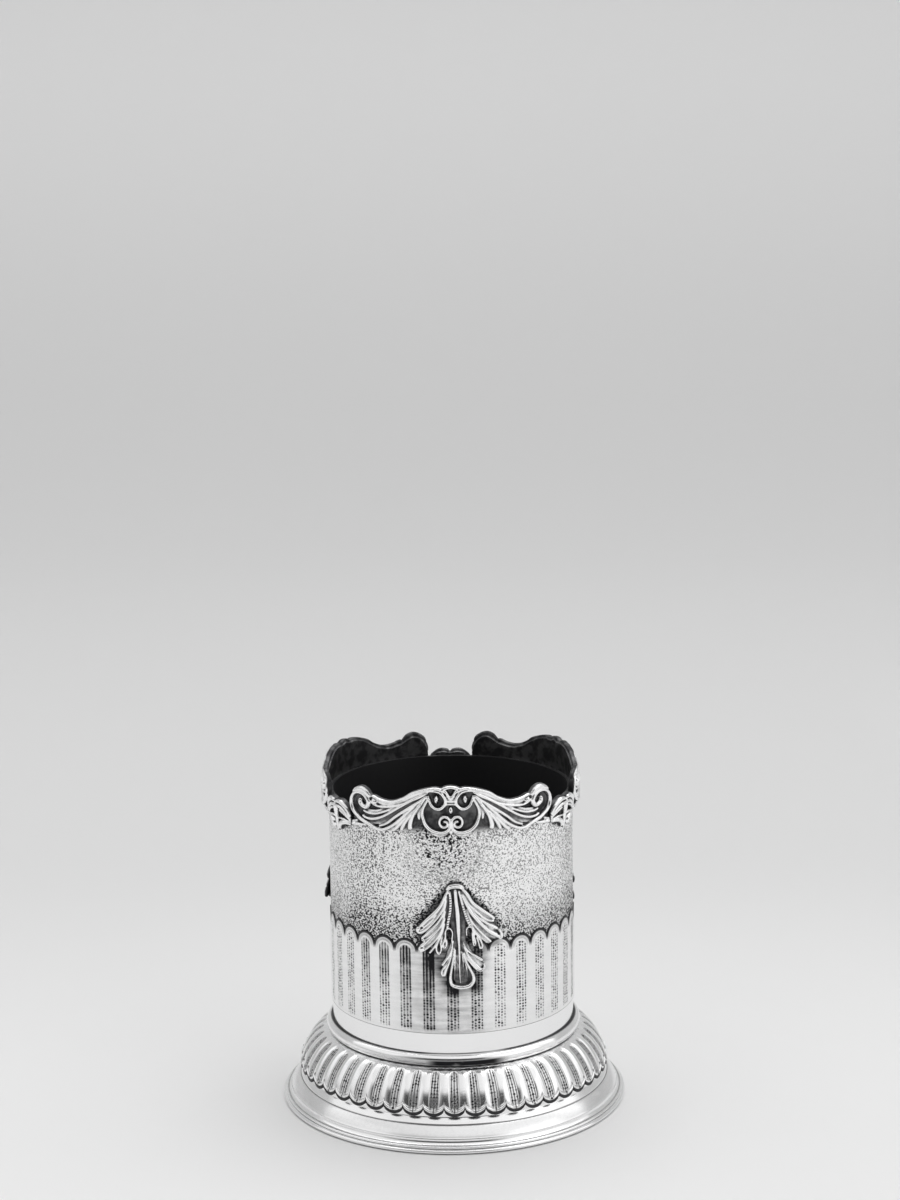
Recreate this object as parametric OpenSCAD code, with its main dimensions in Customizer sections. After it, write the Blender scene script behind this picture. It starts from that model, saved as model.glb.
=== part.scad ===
// Wine bottle coaster in polished and oxidised silver. A moulded round foot carries a fluted dome
// and a straight cylinder with a band of arched lappets, a cast scroll rim and three applied leaves.
// The origin is on the table under the middle of the foot, +Z is up and the front faces -Y.

/* [Bottle well] */
// Diameter of the bottle that the well holds
bottle_d = 75; // [70:0.5:84]
// Free gap between the bottle and the lining, on each side
bottle_gap = 2.9; // [1.5:0.1:5]
// Thickness of the dark lining
lining_t = 0.6; // [0.4:0.1:1.2]
// Depth of the lined well, from its pad to the top of the wall
well_depth = 77; // [68:1:110]
// Height of the floor plate's underside above the shoulder of the foot
floor_lift = 6.6; // [5:0.2:12]
// Thickness of the floor plate
floor_t = 1.2; // [0.8:0.1:2.5]
// Thickness of the soft pad on the floor plate
pad_t = 1.2; // [0.6:0.1:2.5]
// Free gap between the pad and the lining, round the pad's edge and above it
pad_gap = 0.3; // [0.2:0.1:0.5]

/* [Wall] */
// Thickness of the cylinder's sheet
wall_t = 1; // [0.7:0.1:1.8]
// Soldering gap between a ring, band or casting and the wall
fit_gap = 0.05; // [0.04:0.01:0.1]
// Height of the half-round collar at the wall's foot
collar_h = 4.4; // [3:0.1:6]
// How far the collar stands out from the wall
collar_proud = 2.3; // [1.5:0.1:3]

/* [Lappet band] */
// Number of arched lappets round the wall
lappet_n = 33; // [18:3:45]
// Thickness of the applied band
lappet_t = 0.35; // [0.2:0.05:0.6]
// Height of the band's lower edge above the shoulder
lappet_lift = 11.3; // [8:0.5:16]
// Length of a lappet's straight side, from the lower edge to the cusp
lappet_side = 29.4; // [20:0.2:34]
// Rise of the arch above its cusps
lappet_rise = 3.1; // [2:0.1:4]

/* [Foot] */
// How far the foot reaches out from the wall
foot_spread = 17.95; // [17:0.05:22]
// Height of the edge wire
edge_h = 1.5; // [1:0.1:2.5]
// Width of the edge wire
edge_w = 2.7; // [2.2:0.1:3.5]
// Radius of the bead above the edge wire
bead_r = 0.45; // [0.3:0.05:0.6]
// Inset of the bead's middle from the foot's edge
bead_in = 1.5; // [1.2:0.1:1.8]
// Inset of the hollow moulding's upper edge from the foot's edge
cove_in = 3; // [2.6:0.1:3.6]
// Height of the hollow moulding
cove_h = 1.7; // [1:0.1:3]
// Height of the quirk between the hollow and the round moulding
quirk_h = 0.25; // [0.1:0.05:0.5]
// Inset of the round moulding's upper edge from the foot's edge
ovolo_in = 6.8; // [6:0.1:7.5]
// Height of the round moulding
ovolo_h = 3.7; // [2.5:0.1:5]
// Height of the neck above the round moulding, most of it inside the dome
neck_h = 5.2; // [4:0.1:5.4]
// Inset of the neck from the round moulding's upper edge
neck_in = 1.25; // [1.2:0.05:1.6]
// Thickness of the foot's sheet
foot_t = 1; // [0.8:0.1:1.4]
// Thickness of the felt under the foot
felt_t = 0.8; // [0.5:0.1:1]
// Margin from the felt's edge to the base plate's edge
felt_margin = 1.2; // [0.5:0.1:4]
// Running gap between the base plate and the edge wire
base_gap = 0.1; // [0.05:0.05:0.3]

/* [Fluted dome] */
// Number of flutes round the dome
flute_n = 48; // [24:3:60]
// Depth of a flute at its middle
flute_depth = 0.75; // [0.3:0.05:1]
// Lift of the dome's lower edge, at the tip of a flute, above the round moulding
dome_lift = 2.65; // [2.2:0.05:3.2]
// Rise of the edge from the tip of a flute to the cusp between two flutes
cusp_rise = 2.6; // [1:0.1:3.2]
// Height of the dome, from the tip of a flute to the shoulder
dome_h = 13.3; // [11:0.1:18]
// Overhang of the dome beyond the neck that it covers
dome_overhang = 2.05; // [2:0.05:2.6]
// Thickness of the dome's sheet
dome_t = 0.7; // [0.5:0.05:0.75]
// Width of the ledge inside the wall, at the shoulder
ledge_w = 1; // [0.5:0.1:2]

/* [Scroll rim] */
// Height of a scroll casting
scroll_h = 17.3; // [15:0.1:18.5]
// Length of wall that a scroll casting covers below the wall's upper edge
scroll_lap = 5.9; // [4:0.1:8]
// Thickness of the sunk ground of a casting
ground_t = 1.1; // [0.8:0.1:1.6]
// Height of the scroll lines above the ground
relief_h = 1.5; // [0.8:0.1:2]
// Width of a full scroll line
line_w = 1.1; // [0.7:0.1:1.5]
// Height of a husk casting
husk_h = 11.8; // [9:0.1:15]
// Drop of a husk's lowest tip below the scroll castings
husk_drop = 4.3; // [3:0.1:6]
// Gap between a husk and the scroll castings beside it
husk_gap = 0.15; // [0.05:0.05:0.4]

/* [Applied leaves] */
// Height of a leaf
leaf_h = 35.4; // [26:0.2:40]
// Half width of a leaf across its widest lobes
leaf_half_w = 13.9; // [10:0.1:16]
// Drop from the scroll castings' lower edge to a leaf's upper end
leaf_drop = 16.5; // [8:0.5:20]
// Thickness of a leaf's blade at its ribs
blade_t = 1.3; // [0.9:0.1:1.8]
// Stand-off of a leaf's free tips from the wall
leaf_standoff = 2.5; // [1.6:0.1:3.5]
// Turn of each leaf's upper end round the wall, in degrees from the middle of its scroll casting
leaf_turn = 1.4; // [0:0.1:4]
// Lean of each leaf from upright, in degrees
leaf_lean = 3; // [0:0.1:5]

/* [Hidden] */
$fn = 120;
// Overrun of every cut past the face that it goes through
cut_over = 1;
// Radii from the well outwards
well_r = bottle_d / 2 + bottle_gap;
wall_in_r = well_r + lining_t + fit_gap;
wall_r = wall_in_r + wall_t;
seat_r = wall_r + fit_gap;
ground_r = seat_r + ground_t;
shoulder_r = wall_r + collar_proud;
// Radii from the foot's edge inwards
foot_r = wall_r + foot_spread;
cove_r = foot_r - cove_in;
ovolo_r = foot_r - ovolo_in;
neck_r = ovolo_r - neck_in;
dome_r = neck_r + dome_overhang;
ledge_r = wall_in_r - ledge_w;
// Heights from the table up
bead_z = edge_h + bead_r;
cove_z = bead_z + bead_r + cove_h;
ovolo_z = cove_z + quirk_h + ovolo_h;
dome_z = ovolo_z + dome_lift;
shoulder_z = dome_z + dome_h;
floor_z = shoulder_z + floor_lift;
pad_z = floor_z + floor_t;
wall_top_z = pad_z + pad_t + well_depth;
lining_z = pad_z + pad_t + pad_gap;
scroll_z = wall_top_z - scroll_lap;
leaf_top_z = scroll_z - leaf_drop;
// Steps of a moulding's quarter curve, of half a lappet's arch and of the dome's curve
curve_steps = 8;
arch_steps = 6;
dome_steps = 5;
// Bulge of the dome's curve: 2 is an ellipse and 1 a straight cone
dome_power = 1.6;
// Number of scroll castings round the rim, each followed by a husk
scroll_n = 3;
// Half of the arc that a scroll casting covers, and of the arc that a husk covers
scroll_half_deg = 49.3;
husk_half_deg = 180 / scroll_n - scroll_half_deg;
scroll_half = ground_r * scroll_half_deg * PI / 180;
husk_half = ground_r * husk_half_deg * PI / 180 - husk_gap;
// Depth that a raised line sinks into the ground that carries it
line_sink = 0.3 * ground_t;
scroll_steps = 16;
husk_steps = 4;

// Points of a quarter ellipse about centre c, from angle a0 to a1
function curve(c, rx, ry, a0, a1, steps = curve_steps) =
    [for (i = [0:steps]) let(a = a0 + (a1 - a0) * i / steps) [c[0] + rx * cos(a), c[1] + ry * sin(a)]];

// A point on the wall at arc length s from the front, height v, and w out from radius r
function on_wall(s, v, w, r) =
    let(a = s / r * 180 / PI - 90) [(r + w) * cos(a), (r + w) * sin(a), v];

// Triangles that close a grid of rings, each ring with n points, first and last ring capped
function tube_faces(rings, n) = concat(
    [for (i = [0:rings - 2], j = [0:n - 1]) [i * n + j, (i + 1) * n + (j + 1) % n, (i + 1) * n + j]],
    [for (i = [0:rings - 2], j = [0:n - 1]) [i * n + j, i * n + (j + 1) % n, (i + 1) * n + (j + 1) % n]],
    [[for (j = [0:n - 1]) n - 1 - j]],
    [[for (j = [0:n - 1]) (rings - 1) * n + j]]
);

// Triangles of a grid that is closed both ways, such as a ring of varying section
function ring_faces(rings, n) = concat(
    [for (i = [0:rings - 1], j = [0:n - 1])
        [i * n + j, ((i + 1) % rings) * n + (j + 1) % n, ((i + 1) % rings) * n + j]],
    [for (i = [0:rings - 1], j = [0:n - 1])
        [i * n + j, i * n + (j + 1) % n, ((i + 1) % rings) * n + (j + 1) % n]]
);

// Direction across a path of rows at row i, square to the path in the unrolled wall
function across(rows, i) =
    let(a = rows[max(i - 1, 0)], b = rows[min(i + 1, len(rows) - 1)], d = [b[0] - a[0], b[1] - a[1]])
    [-d[1], d[0]] / norm(d);

// Sections of a rounded line and of a ridge, as shares of its half width and of its height
round_shares = [[-1, 0], [-0.45, 0.95], [0.45, 0.95], [1, 0]];
ridge_shares = [[-1, 0], [0, 1], [1, 0]];

// A raised line on the wall. A row is [arc length, height, half width, base, top] in lengths.
module line_on_wall(rows, r, section_shares) {
    count = len(section_shares);
    points = [
        for (i = [0:len(rows) - 1], q = section_shares)
            let(row = rows[i], n = across(rows, i) * row[2] * q[0])
            on_wall(row[0] + n[0], row[1] + n[1], row[3] + (row[4] - row[3]) * q[1], r)
    ];
    polyhedron(points, tube_faces(len(rows), count), convexity = 6);
}

// Both halves of an ornament that is alike left and right of its middle
module both_sides() {
    children();
    mirror([1, 0, 0])
        children();
}

module ring(r_in, r_out, h) {
    difference() {
        cylinder(r = r_out, h = h);
        translate([0, 0, -cut_over])
            cylinder(r = r_in, h = h + 2 * cut_over);
    }
}

/* Foot */

module foot_edge_wire() {
    round_r = edge_h / 3;
    color("#dcdde0")
        rotate_extrude()
            polygon(concat(
                [[foot_r - edge_w, 0], [foot_r - round_r / 2, 0], [foot_r, round_r / 2]],
                curve([foot_r - round_r, edge_h - round_r], round_r, round_r, 0, 90),
                [[foot_r - edge_w, edge_h]]
            ));
}

module foot_moulding() {
    inner_r = foot_r - edge_w;
    bead_mid_r = foot_r - bead_in;
    cove_out_r = bead_mid_r - bead_r / 4;
    quirk_z = cove_z + quirk_h;
    color("#e2e3e5")
        rotate_extrude()
            polygon(concat(
                [[inner_r, edge_h]],
                curve([bead_mid_r, bead_z], bead_r, bead_r, -90, 90),
                curve([cove_out_r, cove_z], cove_out_r - cove_r, cove_h, 270, 180),
                curve([ovolo_r, quirk_z], cove_r - foot_t / 6 - ovolo_r, ovolo_h, 0, 90),
                [
                    [neck_r, ovolo_z],
                    [neck_r, ovolo_z + neck_h],
                    [neck_r - foot_t, ovolo_z + neck_h],
                    [neck_r - foot_t, ovolo_z - foot_t],
                    [cove_r - foot_t, cove_z],
                ]
            ));
}

module base_plate() {
    color("#b9babd")
        translate([0, 0, felt_t])
            cylinder(r = foot_r - edge_w - base_gap, h = edge_h - felt_t);
}

module base_felt() {
    color("#1c1f1d")
        cylinder(r = foot_r - edge_w - base_gap - felt_margin, h = felt_t);
}

/* Dome */

// Four columns make a flute: the ridge, a flank, the middle and a flank
flute_shape_shares = [0, 0.8, 1, 0.8];
edge_shape_shares = [1, 0.14, 0, 0.14];
dome_centre_share = 0.9;

// A point of the dome's curve: share t runs from the shoulder to the edge, in is the depth under it
function dome_point(t, edge_rise, in) =
    let(
        end = acos(pow(edge_rise / dome_h, dome_power / 2)),
        a = end * t,
        r = shoulder_r + (dome_r - shoulder_r) * pow(sin(a), 2 / dome_power),
        z = dome_z + dome_h * pow(cos(a), 2 / dome_power),
        out = [r - shoulder_r * dome_centre_share, z - dome_z]
    )
    [r, z] - out / norm(out) * in;

module fluted_dome() {
    columns = flute_n * 4;
    inner_steps = [0.6];
    points = [
        for (j = [0:columns - 1])
            let(
                a = (j - 2) * 360 / columns - 90,
                rise = cusp_rise * edge_shape_shares[j % 4],
                depth = flute_depth * flute_shape_shares[j % 4],
                edge = dome_point(1, rise, 0),
                section = concat(
                    [[ledge_r, shoulder_z]],
                    [
                        for (k = [0:dome_steps])
                            let(t = k / dome_steps) dome_point(t, rise, depth * pow(sin(180 * t), 0.5))
                    ],
                    [[edge[0] - dome_t, edge[1]]],
                    [for (t = inner_steps) dome_point(t, rise, dome_t + flute_depth * sin(180 * t))],
                    [[ledge_r, shoulder_z - dome_t]]
                )
            )
            for (p = section) [p[0] * cos(a), p[0] * sin(a), p[1]]
    ];
    rows = dome_steps + 1 + 3 + len(inner_steps);
    color("#d5d6d9")
        polyhedron(points, ring_faces(columns, rows), convexity = 8);
}

/* Wall */

module collar_ring() {
    color("#e4e5e7")
        translate([0, 0, shoulder_z])
            rotate_extrude()
                polygon(concat(
                    [[seat_r, 0]],
                    curve([seat_r, collar_h / 2], shoulder_r - seat_r, collar_h / 2, -90, 90, 2 * curve_steps),
                    [[seat_r, collar_h]]
                ));
}

module body_wall() {
    color("#d3d4d7")
        translate([0, 0, shoulder_z])
            ring(wall_in_r, wall_r, wall_top_z - shoulder_z);
}

module lappet_band() {
    tip_flat = 0.03 * lappet_rise;
    half_w = PI * wall_r / lappet_n;
    arch_r = (pow(half_w, 2) + pow(lappet_rise, 2)) / (2 * lappet_rise);
    side_z = shoulder_z + lappet_lift + lappet_side;
    color("#dfe0e2")
        difference() {
            translate([0, 0, shoulder_z + lappet_lift])
                ring(seat_r, seat_r + lappet_t, lappet_side + lappet_rise - tip_flat);
            for (i = [0:lappet_n - 1])
                rotate([0, 0, (i + 0.5) * 360 / lappet_n - 90])
                    translate([seat_r - cut_over, 0, 0])
                        rotate([90, 0, 90])
                            linear_extrude(lappet_t + 2 * cut_over)
                                cusp_outline(half_w, arch_r, side_z);
        }
}

// The gap over a cusp: two arcs meet at the cusp and open towards the tips of the lappets
module cusp_outline(half_w, arch_r, side_z) {
    drop = arch_r - lappet_rise;
    half_angle = asin(half_w / arch_r);
    left = curve([-half_w, side_z - drop], arch_r, arch_r, 90, 90 - half_angle, arch_steps);
    right = curve([half_w, side_z - drop], arch_r, arch_r, 90 + half_angle, 90, arch_steps);
    polygon(concat(
        left,
        [for (i = [1:len(right) - 1]) right[i]],
        [[half_w, side_z + lappet_rise + cut_over], [-half_w, side_z + lappet_rise + cut_over]]
    ));
}

module floor_plate() {
    color("#b9babd")
        translate([0, 0, floor_z])
            cylinder(r = wall_in_r - fit_gap, h = floor_t);
}

module floor_pad() {
    color("#18181a")
        translate([0, 0, pad_z])
            cylinder(r = well_r - pad_gap, h = pad_t);
}

module wall_lining() {
    color("#131315")
        translate([0, 0, lining_z])
            ring(well_r, well_r + lining_t, wall_top_z - lining_z);
}

/* Scroll rim */

// Rows below are shares: along the half arc, up the height, of the line's width and of its relief.
// The strand that comes up from the lower edge to the outer volute
volute_stem_shares = [
    [0.64, 0.06, 0.6, 0.4], [0.74, 0.07, 0.8, 0.7], [0.85, 0.175, 1, 0.9], [0.93, 0.28, 1, 1],
];
volute_eye_shares = [0.832, 0.555];
volute_start_share = 0.33;
volute_end_share = 0.055;
// The crest that rolls over the outer volute
crest_shares = [
    [0.98, 0.60, 0.3, 0.5], [0.93, 0.715, 1.1, 0.9], [0.85, 0.765, 1.4, 1], [0.775, 0.70, 1.2, 0.9],
    [0.73, 0.64, 0.5, 0.7],
];
// The band along the top of the wing, and the small volute beside the middle
wing_shares = [
    [0.735, 0.63, 0.4, 0.6], [0.68, 0.595, 1.5, 0.8], [0.59, 0.57, 1.6, 0.9], [0.48, 0.625, 1.3, 0.9],
    [0.36, 0.765, 1.2, 1], [0.26, 0.855, 1.1, 1], [0.17, 0.895, 1, 1],
];
bud_eye_shares = [0.12, 0.715];
bud_start_share = 0.18;
bud_end_share = 0.145;
// The scroll round the middle field and its inner volute
field_shares = [
    [0.215, 0.60, 0.3, 0.5], [0.25, 0.46, 0.7, 0.8], [0.235, 0.28, 0.9, 1], [0.165, 0.115, 1, 1],
    [0.09, 0.07, 1, 1], [0.035, 0.10, 0.9, 1], [0.012, 0.18, 0.8, 1],
];
curl_eye_shares = [0.063, 0.275];
curl_start_share = 0.12;
curl_end_share = 0.045;
// The ribs of the wing and the three fingers at its lower edge
rib_shares = [
    [[0.83, 0.25, 0.3, 0.3], [0.72, 0.235, 0.8, 0.6], [0.56, 0.40, 0.8, 0.6], [0.30, 0.72, 0.4, 0.3]],
    [[0.66, 0.09, 0.6, 0.4], [0.56, 0.20, 1.2, 0.7], [0.40, 0.49, 1.2, 0.7], [0.22, 0.745, 0.3, 0.3]],
];
finger_shares = [
    [[0.36, 0.40, 0.6, 0.4], [0.45, 0.24, 1.2, 0.7], [0.53, 0.045, 1, 0.5]],
    [[0.31, 0.53, 0.5, 0.4], [0.40, 0.30, 1, 0.7], [0.458, 0.05, 1, 0.5]],
    [[0.23, 0.72, 0.4, 0.4], [0.34, 0.38, 1.2, 0.8], [0.37, 0.07, 1.6, 0.6]],
];
foot_shares = [[0.025, 0.075, 0.3, 0.5], [0.12, 0.03, 0.8, 0.6]];
heart_shares = [[0, 1, 0.8, 0.6], [0, 0.90, 1.8, 0.9], [0, 0.60, 0.5, 0.7]];
// Upper and lower edge of the sunk ground, from the middle outwards
ground_top_shares = [
    [0, 0.95], [0.1, 0.9], [0.19, 0.9], [0.27, 0.855], [0.35, 0.775], [0.45, 0.655], [0.54, 0.585],
    [0.62, 0.575], [0.72, 0.63], [0.78, 0.72], [0.84, 0.775], [0.9, 0.745], [0.95, 0.67], [1, 0.46],
];
ground_low_shares = [
    [0, 0.06], [0.13, 0.085], [0.2, 0.17], [0.245, 0.34], [0.29, 0.31], [0.335, 0.17], [0.37, 0.085],
    [0.42, 0.12], [0.46, 0.07], [0.53, 0.06], [0.62, 0.06], [0.7, 0.04], [0.85, 0.05], [1, 0.05],
];

// Rows of a raised line in lengths, from its rows of shares
function line_rows(shares, half, height) = [
    for (q = shares)
        [q[0] * half, q[1] * height, q[2] * line_w / 2, -line_sink, q[3] * relief_h]
];

// Rows of a volute about an eye: radii in shares of the height, turning from angle a0 to a1
function volute_rows(eye, r0, r1, a0, a1, steps, width, half, height) = [
    for (i = [1:steps])
        let(t = i / steps, r = height * r0 * pow(r1 / r0, t), a = a0 + (a1 - a0) * t)
        [
            eye[0] * half + r * cos(a), eye[1] * height + r * sin(a),
            width * (1 - 0.35 * t) * line_w / 2, -line_sink, relief_h,
        ]
];

// The sunk ground of a casting: a thin plate on the wall between two edges
module ground_plate(half, height, top_shares, low_shares, steps) {
    points = [
        for (i = [0:steps])
            let(u = i / steps * 2 - 1, s = u * half * seat_r / ground_r)
            let(top = height * lookup(abs(u), top_shares), low = height * lookup(abs(u), low_shares))
            for (q = [[low, 0], [low, ground_t], [top, ground_t], [top, 0]]) on_wall(s, q[0], q[1], seat_r)
    ];
    polyhedron(points, tube_faces(steps + 1, 4), convexity = 6);
}

module scroll_half_lines() {
    rows = function(shares) line_rows(shares, scroll_half, scroll_h);
    volute = function(eye, r0, r1, a0, a1, steps)
        volute_rows(eye, r0, r1, a0, a1, steps, 1, scroll_half, scroll_h);
    outer = volute(volute_eye_shares, volute_start_share, volute_end_share, -25, 390, 9);
    bud = volute(bud_eye_shares, bud_start_share, bud_end_share, 75, 350, 6);
    curl = volute(curl_eye_shares, curl_start_share, curl_end_share, 175, -200, 7);
    line_on_wall(concat(rows(volute_stem_shares), outer), ground_r, round_shares);
    line_on_wall(concat(rows(wing_shares), bud), ground_r, round_shares);
    line_on_wall(concat(rows(field_shares), curl), ground_r, round_shares);
    line_on_wall(rows(crest_shares), ground_r, round_shares);
    for (shares = concat(rib_shares, finger_shares, [foot_shares]))
        line_on_wall(rows(shares), ground_r, ridge_shares);
}

// A scroll casting on the wall, its middle turned to angle a from the front
module rim_scroll(a) {
    color("#d9dadd")
        rotate([0, 0, a])
            translate([0, 0, scroll_z])
                resize([0, 0, scroll_h])
                    union() {
                        ground_plate(scroll_half, scroll_h, ground_top_shares, ground_low_shares, scroll_steps);
                        line_on_wall(line_rows(heart_shares, scroll_half, scroll_h), ground_r, ridge_shares);
                        both_sides()
                            scroll_half_lines();
                    }
}

// Rows of the husk that covers the joint between two castings
husk_petal_shares = [
    [0.96, 0.60, 1.2, 0.5], [0.75, 0.76, 3.2, 0.8], [0.45, 0.83, 3.6, 1], [0.16, 0.80, 2.6, 1],
    [0.02, 0.76, 1.4, 0.7],
];
husk_blade_shares = [[0.98, 0.47, 0.7, 0.4], [0.58, 0.50, 1, 0.7], [0.2, 0.42, 1.2, 0.8], [0.06, 0.36, 0.8, 0.5]];
husk_curl_shares = [[0.96, 0.40, 0.9, 0.4], [0.6, 0.33, 1.4, 0.8], [0.3, 0.20, 1.8, 1], [0.17, 0.085, 1.5, 0.8]];
husk_spike_shares = [[0, 0.75, 1.2, 1], [0, 0.40, 1.2, 1], [0, 0, 0.3, 0.3]];
husk_top_shares = [[0, 0.84], [0.4, 0.93], [0.75, 0.92], [1, 0.85]];
husk_low_shares = [[0, 0.22], [0.3, 0.24], [0.6, 0.32], [1, 0.37]];

module rim_husk(a) {
    rows = function(shares) line_rows(shares, husk_half, husk_h);
    color("#d9dadd")
        rotate([0, 0, a])
            translate([0, 0, scroll_z - husk_drop])
                resize([0, 0, husk_h])
                    union() {
                        ground_plate(husk_half, husk_h, husk_top_shares, husk_low_shares, husk_steps);
                        line_on_wall(rows(husk_spike_shares), ground_r, ridge_shares);
                        both_sides()
                            for (shares = [husk_petal_shares, husk_blade_shares, husk_curl_shares])
                                line_on_wall(rows(shares), ground_r, ridge_shares);
                    }
}

/* Leaves */

// Rows are shares: across the half width, down from the top, half width, stand-off and thickness.
leaf_lobe_shares = [
    [[0.10, 0.03, 0.06, 0.02, 0.8], [0.26, 0.18, 0.09, 0.4, 1], [0.50, 0.29, 0.11, 0.8, 0.9],
        [0.88, 0.41, 0.05, 1, 0.5]],
    [[0.14, 0.12, 0.06, 0.2, 0.8], [0.33, 0.30, 0.09, 0.55, 1], [0.58, 0.41, 0.10, 0.85, 0.9],
        [0.90, 0.50, 0.05, 1, 0.5]],
    [[0.14, 0.20, 0.06, 0.3, 0.8], [0.32, 0.38, 0.10, 0.6, 1], [0.58, 0.495, 0.11, 0.85, 0.9],
        [0.95, 0.60, 0.05, 1, 0.5]],
    [[0.12, 0.28, 0.07, 0.4, 0.8], [0.29, 0.47, 0.11, 0.7, 1], [0.44, 0.57, 0.11, 0.9, 0.8],
        [0.62, 0.645, 0.06, 1, 0.5]],
    [[0.08, 0.45, 0.09, 0.6, 0.9], [0.23, 0.62, 0.11, 0.8, 1], [0.42, 0.765, 0.05, 1, 0.5]],
    [[0.08, 0.55, 0.09, 0.7, 0.9], [0.20, 0.73, 0.12, 0.85, 1], [0.37, 0.875, 0.06, 1, 0.5]],
];
leaf_tendril_shares = [
    [0.17, 0.03, 0.035, 0.4, 1], [0.20, 0.25, 0.035, 0.9, 1], [0.28, 0.50, 0.05, 1.1, 0.8],
];
leaf_tongue_shares = [
    [0, 0.02, 0.13, 0.03, 1], [0, 0.25, 0.12, 0.5, 1], [0, 0.60, 0.12, 0.8, 1], [0, 0.80, 0.17, 0.9, 1],
    [0, 0.92, 0.27, 1, 0.9], [0, 1, 0.16, 1, 0.6],
];
leaf_rib_shares = [
    [0, 0, 0.05, 0.3, 1.3], [0, 0.28, 0.06, 0.9, 1.3], [0, 0.60, 0.04, 1.1, 1.3], [0, 0.95, 0.02, 1.2, 0.9],
];
leaf_collar_shares = [
    [-0.19, 0.05, 0.045, 0.02, 1.2], [-0.1, 0.028, 0.07, 0.02, 1.9], [0.1, 0.028, 0.07, 0.02, 1.9],
    [0.19, 0.05, 0.045, 0.02, 1.2],
];

// Rows of a leaf's line in lengths, on its right (side 1) or left (side -1), leaned about its top
function leaf_rows(shares, side = 1) = [
    for (q = shares)
        let(x = side * q[0] * leaf_half_w, down = q[1] * leaf_h, base = fit_gap + q[3] * leaf_standoff)
        [
            x * cos(leaf_lean) + down * sin(leaf_lean),
            leaf_h - down * cos(leaf_lean) + x * sin(leaf_lean),
            q[2] * leaf_half_w, base, base + q[4] * blade_t,
        ]
];

// A leaf on the wall, turned to angle a from the front
module leaf(a) {
    color("#d6d7da")
        rotate([0, 0, a + leaf_turn])
            translate([0, 0, leaf_top_z - leaf_h])
                resize([0, 0, leaf_h])
                    union() {
                        line_on_wall(leaf_rows(leaf_tongue_shares), seat_r, round_shares);
                        line_on_wall(leaf_rows(leaf_rib_shares), seat_r, ridge_shares);
                        line_on_wall(leaf_rows(leaf_collar_shares), seat_r, round_shares);
                        for (side = [-1, 1], shares = concat(leaf_lobe_shares, [leaf_tendril_shares]))
                            line_on_wall(leaf_rows(shares, side), seat_r, ridge_shares);
                    }
}

module rim_scroll_front() rim_scroll(0);
module rim_scroll_right() rim_scroll(360 / scroll_n);
module rim_scroll_left() rim_scroll(-360 / scroll_n);
module rim_husk_right() rim_husk(180 / scroll_n);
module rim_husk_back() rim_husk(180);
module rim_husk_left() rim_husk(-180 / scroll_n);
module leaf_front() leaf(0);
module leaf_right() leaf(360 / scroll_n);
module leaf_left() leaf(-360 / scroll_n);

foot_edge_wire();
foot_moulding();
base_plate();
base_felt();
fluted_dome();
collar_ring();
body_wall();
lappet_band();
floor_plate();
floor_pad();
wall_lining();
rim_scroll_front();
rim_scroll_right();
rim_scroll_left();
rim_husk_right();
rim_husk_back();
rim_husk_left();
leaf_front();
leaf_right();
leaf_left();
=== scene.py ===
"""Wine bottle coaster in silver: a moulded round foot, a fluted dome, a grained cylinder with a band of
arched lappets, a cast scroll rim and three applied acanthus leaves. Lengths in the tables are in
millimetres. Angles round the wall are in degrees from the front, positive to the right."""

import math

import bpy
import numpy as np
from mathutils import Matrix, Vector


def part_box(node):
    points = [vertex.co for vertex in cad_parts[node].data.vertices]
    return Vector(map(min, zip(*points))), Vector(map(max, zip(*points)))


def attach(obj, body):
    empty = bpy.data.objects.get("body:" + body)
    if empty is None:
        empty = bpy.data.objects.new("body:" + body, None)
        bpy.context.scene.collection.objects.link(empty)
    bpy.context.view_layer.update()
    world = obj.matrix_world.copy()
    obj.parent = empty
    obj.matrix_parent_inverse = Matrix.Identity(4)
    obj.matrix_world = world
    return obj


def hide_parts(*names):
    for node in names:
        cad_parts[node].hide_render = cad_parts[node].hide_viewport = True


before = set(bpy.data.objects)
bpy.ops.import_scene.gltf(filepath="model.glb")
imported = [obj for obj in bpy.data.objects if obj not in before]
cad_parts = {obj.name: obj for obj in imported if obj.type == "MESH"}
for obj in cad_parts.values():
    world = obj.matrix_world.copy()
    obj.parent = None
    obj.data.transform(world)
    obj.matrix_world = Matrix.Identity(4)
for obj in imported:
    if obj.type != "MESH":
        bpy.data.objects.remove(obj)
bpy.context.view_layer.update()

bl_info = {
    "name": "Wine Bottle Coaster",
    "version": (1, 0, 0),
    "blender": (4, 5, 0),
    "location": "View3D > Sidebar > Coaster",
    "description": "Builds a silver wine bottle coaster with a cast scroll rim",
    "category": "Add Mesh",
}

MM = 0.001
CASTINGS = {"front": 0, "right": 120, "left": -120}
HUSKS = {"right": 60, "back": 180, "left": -60}
FLUTES = 48
LAPPETS = 33
# Radius at which the castings and leaves are drawn flat before they are wrapped round the wall
FLAT_R = 44.0
DEGREE = FLAT_R * math.pi / 180
# Radius just off the wall, where the collar, the bands and the castings sit
SEAT_R = 42.1
# Thickness of the castings' sunk ground
GROUND = 0.9
# Distance between the beads on a leaf's stems
BEAD_PITCH = 0.85
# Width of the foot's edge wire, and the step between rings of the spun foot
WIRE_W = 2.7
SPUN_STEP = 0.35
# Columns round a turned piece
SEGMENTS = 360
# Height of the polishing scratches, and the roughness that a fully dull place adds
SCRATCH_MM = 0.0012
DULL_ROUGHNESS = 0.12
# Degrees from one scroll casting to the next
THIRD = 120.0
# Radius at which the width of a flute is measured
FLUTE_R = 50.0
# Radius of a lappet's arch, and how far its middle lies below the band's top
ARCH_R = 4.13
ARCH_DOWN = 4.03


def radius_of(node):
    """Millimetres, like the two below."""
    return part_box(node)[1].x / MM


def top_of(node):
    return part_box(node)[1].z / MM


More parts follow.
